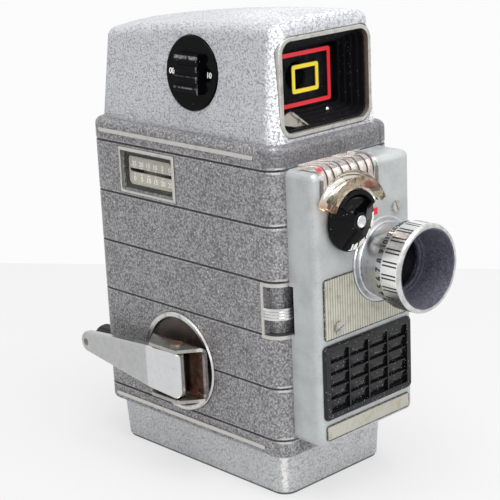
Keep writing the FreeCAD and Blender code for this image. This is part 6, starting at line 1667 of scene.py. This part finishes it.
@dataclass(frozen=True)
class Rounded:
    """Upright rounded rectangle: its length along y, its height and the radius of its corners."""

    length: float
    height: float
    corner: float

    def ring(self, centre: Point, x: float) -> np.ndarray:
        """The rectangle as a ring of points: straight sides and quarter circles.

        A point is a corner's middle, at half of the size less the radius, plus the radius times
        cosine and sine of an angle that goes once round.

        Args:
            centre: Its middle.
            x: Where it lies.

        Returns:
            The points, anticlockwise as seen from -X.
        """
        quarter = np.linspace(0, math.pi / 2, 7)
        angle = np.concatenate([quarter + turn * math.pi / 2 for turn in range(4)])
        just_after = angle + 1e-6
        across, rise = (wave * self.corner + np.where(side > 0, 1, -1) * (size / 2 - self.corner)
                        for wave, side, size in (
                            (np.cos(angle), np.cos(just_after), self.length),
                            (np.sin(angle), np.sin(just_after), self.height)))
        return np.stack([np.full_like(rise, x), centre[1] - across, centre[2] + rise], axis=1)


@dataclass
class FootageCounter(Part):
    """Footage counter: frame, pane, drum, and the fixed scale with its dark mask."""

    centre: Point = (0.0, 14.7 * MM, 99.6 * MM)
    wall_inside: float = -25.2 * MM
    scale: Rounded = Rounded(26.4 * MM, 14.2 * MM, 0.6 * MM)
    scale_slot: Rounded = Rounded(21.4 * MM, 1.25 * MM, 0.5625 * MM)
    scale_sheet: float = 0.25 * MM
    mask: Rounded = Rounded(24.3 * MM, 12.2 * MM, 0.5 * MM)
    mask_window: Rounded = Rounded(22.4 * MM, 9.9 * MM, 1.6 * MM)
    mask_depth: float = 0.75 * MM
    upper: tuple[str, ...] = ("25", "20", "15", "10", "5", "0")
    lower: tuple[str, ...] = ("0", "5", "10", "15", "20", "25")
    first_y: float = 23.0 * MM
    step: float = -3.55 * MM
    rows_z: float = 99.4 * MM
    figure_height: float = 1.6 * MM
    row_rise: float = 2.5 * MM
    tick_rise: float = 1.05 * MM
    tick_half: float = 0.22 * MM
    tick_width: float = 0.5 * MM
    ink: float = 0.04 * MM

    def build(self) -> None:
        """Dresses the counter and adds scale, mask and figures."""
        self.dress(TRIM_METAL, "footage_frame")
        self.dress(PANE, "footage_glass")
        self.dress(DRUM_DARK, "footage_drum")
        self.add("counter_scale", self.plate(self.wall_inside, self.scale, self.scale_slot,
                                             self.scale_sheet), COUNTER_GROUND, "drum_ground")
        self.add("counter_mask", self.plate(self.wall_inside - self.mask_depth, self.mask,
                                            self.mask_window, self.mask_depth), MASK_DARK,
                 "black_paint")
        self.rows()

    def plate(self, x: float, outside: Rounded, hole: Rounded, sheet: float) -> Solid:
        """Upright plate with a rounded hole: rings round its outside and round its hole.

        Args:
            x: Place of its outer face.
            outside: Its outline.
            hole: Outline of the hole.
            sheet: Thickness, inwards.

        Returns:
            Points and faces.
        """
        rings = [outline.ring(self.centre, at) for outline, at in (
            (outside, x + sheet), (outside, x), (hole, x), (hole, x + sheet))]
        return loft(np.stack(rings), closed=False)

    def rows(self) -> None:
        """Two rows of figures with ticks, on each side of the slot."""
        outward = np.tile([-1.0, 0.0, 0.0], (2, 1))
        flats = []
        for texts, side in ((self.upper, 1), (self.lower, -1)):
            for index, text in enumerate(texts):
                y = self.first_y + self.step * index
                at = (self.wall_inside, y, self.rows_z + side * self.row_rise)
                tick = self.rows_z + side * self.tick_rise
                path = np.array([[self.wall_inside, y, tick - self.tick_half],
                                 [self.wall_inside, y, tick + self.tick_half]])
                flats += [laid(digits(text, self.figure_height, self.ink), at, (0, -1, 0), (0, 0, 1)),
                          ribbon(path, outward, self.tick_width, self.ink)]
        self.add("counter_figures", join(flats), WHITE_INK, "drum_ground")


@dataclass
class Controls(Part):
    """Starter, winding key with its folding handle, and the door's latch."""

    def build(self) -> None:
        """Dresses the controls."""
        self.dress(TRIM_METAL, "starter_frame")
        self.dress(BRIGHT_CHROME, "starter_button")
        self.dress(HANDLE_CHROME, "key_handle")
        self.dress(KEY_RING_METAL, "key_ring")
        self.dress(DISC_STEEL, "key_disc")
        self.dress(BRACKET_STEEL, "key_bracket")
        self.dress(COPPER, "key_pin")
        self.dress(PLAIN_BLACK, "latch_knob")
        self.dress(STEEL, "latch_arm")


@dataclass
class Clockwork(Part):
    """Spring, gears, governor and shutter, and the film path beside them."""

    def build(self) -> None:
        """Dresses the mechanism."""
        self.dress(ALUMINIUM, "clockwork_plate", "takeup_spool")
        self.dress(BRASS, "mainspring_barrel", "train_wheel", "crown_wheel", "governor",
                   "gear_bridge")
        self.dress(MATT_BLACK, "shutter")
        self.dress(STEEL, "takeup_spindle", "supply_spindle", "film_gate", "claw",
                   "pressure_plate")


@dataclass(frozen=True)
class Lamp:
    """Square soft lamp: where it stands, what it points at, its side in metres and its watts."""

    name: str
    at: Point
    target: Point
    size: float
    watts: float

    def build(self) -> None:
        """Adds the lamp."""
        data = bpy.data.lights.new(self.name, "AREA")
        data.size = self.size
        data.energy = self.watts
        lamp = linked(self.name, data)
        aim = (Vector(self.target) - Vector(self.at)).to_track_quat("-Z", "Y")
        lamp.matrix_world = Matrix.Translation(self.at) @ aim.to_matrix().to_4x4()


@dataclass
class Studio:
    """White table and surroundings, soft lamps and the camera at the photograph's view."""

    lens_mm: float = 108.64
    sensor_mm: float = 36.0
    clip_start: float = 0.01
    station: Point = (-0.33160, -0.35780, 0.21400)
    azimuth: float = -0.753
    elevation: float = 0.287
    roll: float = -0.045
    floor_reach: float = 2.6
    table_edge: tuple[Point, Point] = ((0.0710, 0.2544, 0.0), (0.2149, 0.0552, 0.0))
    table_seen: float = 0.84
    table_own: float = 0.8
    table_glow: float = 0.8
    sky_light: float = 0.52
    sky_seen: float = 0.97
    lamps: tuple[Lamp, ...] = (
        Lamp("overhead", (-0.10, -0.25, 1.15), (0.0, 0.0, 0.08), 0.8, 16.5),
        Lamp("front_right", (0.55, -1.0, 0.55), (0.0, 0.0, 0.08), 0.6, 1.7),
        Lamp("front_left", (-0.33, -0.70, 0.30), (-0.02, -0.04, 0.07), 0.35, 1.5))

    def build(self) -> None:
        """Builds the whole studio."""
        bpy.context.scene.view_settings.view_transform = "Standard"
        self.place_camera()
        self.build_world()
        self.build_table()
        for lamp in self.lamps:
            lamp.build()

    def view(self) -> tuple[Vector, Vector, Vector]:
        """Right, up and backward directions of the view.

        Backward is the direction with the azimuth and elevation. Right and up are turned about it by
        the roll.

        Returns:
            The three unit vectors.
        """
        back = Vector((math.sin(self.azimuth) * math.cos(self.elevation),
                       -math.cos(self.azimuth) * math.cos(self.elevation),
                       math.sin(self.elevation)))
        right = (-back).cross(Vector((0, 0, 1))).normalized()
        up = right.cross(-back)
        turn = math.cos(self.roll), math.sin(self.roll)
        return right * turn[0] + up * turn[1], up * turn[0] - right * turn[1], back

    def place_camera(self) -> None:
        """Puts the camera at the photograph's station."""
        data = bpy.data.cameras.new("view")
        data.lens = self.lens_mm
        data.sensor_width = self.sensor_mm
        data.clip_start = self.clip_start
        camera = linked("view", data)
        turn = Matrix(self.view()).transposed().to_4x4()
        camera.matrix_world = Matrix.Translation(self.station) @ turn
        bpy.context.scene.camera = camera

    @staticmethod
    def seen(graph: Graph) -> Socket:
        """One for rays from the camera, from mirrors and through glass.

        Args:
            graph: Where the nodes go.

        Returns:
            The mask.
        """
        path = graph.put("LightPath").outputs
        some = graph.math("MAXIMUM", path["Is Camera Ray"], path["Is Glossy Ray"])
        return graph.math("MAXIMUM", some, path["Is Transmission Ray"])

    def build_world(self) -> None:
        """Even white surroundings, plain white where they are seen directly."""
        world = bpy.data.worlds.new("surroundings")
        bpy.context.scene.world = world
        graph = blank_graph(world)
        strength = graph.between(self.seen(graph), self.sky_light, self.sky_seen)
        sky = graph.put("Background", {"Color": (1.0, 1.0, 1.0, 1.0), "Strength": strength})
        graph.put("OutputWorld", {"Surface": sky.outputs[0]})

    def build_table(self) -> None:
        """Pale table under the object, which ends behind it along one straight edge.

        It has one brightness for the camera, mirrors and glass, mixed in by the glow's share, and
        returns its own light onto the object.
        """
        left, right = (Vector(point) for point in self.table_edge)
        side = (right - left).normalized() * self.floor_reach
        nearer = Vector((side.y, -side.x, 0.0))
        mesh = bpy.data.meshes.new("table")
        mesh.from_pydata([left - side + nearer, right + side + nearer, right + side, left - side],
                         [], [(0, 1, 2, 3)])
        table = linked("table", mesh)
        material = bpy.data.materials.new("table")
        graph = blank_graph(material)
        diffuse = graph.put("BsdfDiffuse", {0: (self.table_own,) * 3 + (1.0,)}).outputs[0]
        glow = graph.put("Emission", {0: (self.table_seen,) * 3 + (1.0,), 1: 1.0}).outputs[0]
        share = graph.times(self.seen(graph), self.table_glow)
        both = graph.put("MixShader", {0: share, 1: diffuse, 2: glow})
        graph.put("OutputMaterial", {"Surface": both.outputs[0]})
        mesh.materials.append(material)


def main() -> None:
    """Builds every sub-assembly and the studio."""
    logging.basicConfig(level=logging.INFO, format="%(name)s: %(message)s")
    for unit in (Casing(), Foot(), FinderHousing(), FrontPanel(), ExposureGauge(), LensUnit(),
                 FootageCounter(), Controls(), Clockwork()):
        LOG.info("building %s", type(unit).__name__)
        unit.build()
    Studio().build()
    LOG.info("%d pieces added", len(Part.made))


if __name__ == "__main__":
    main()
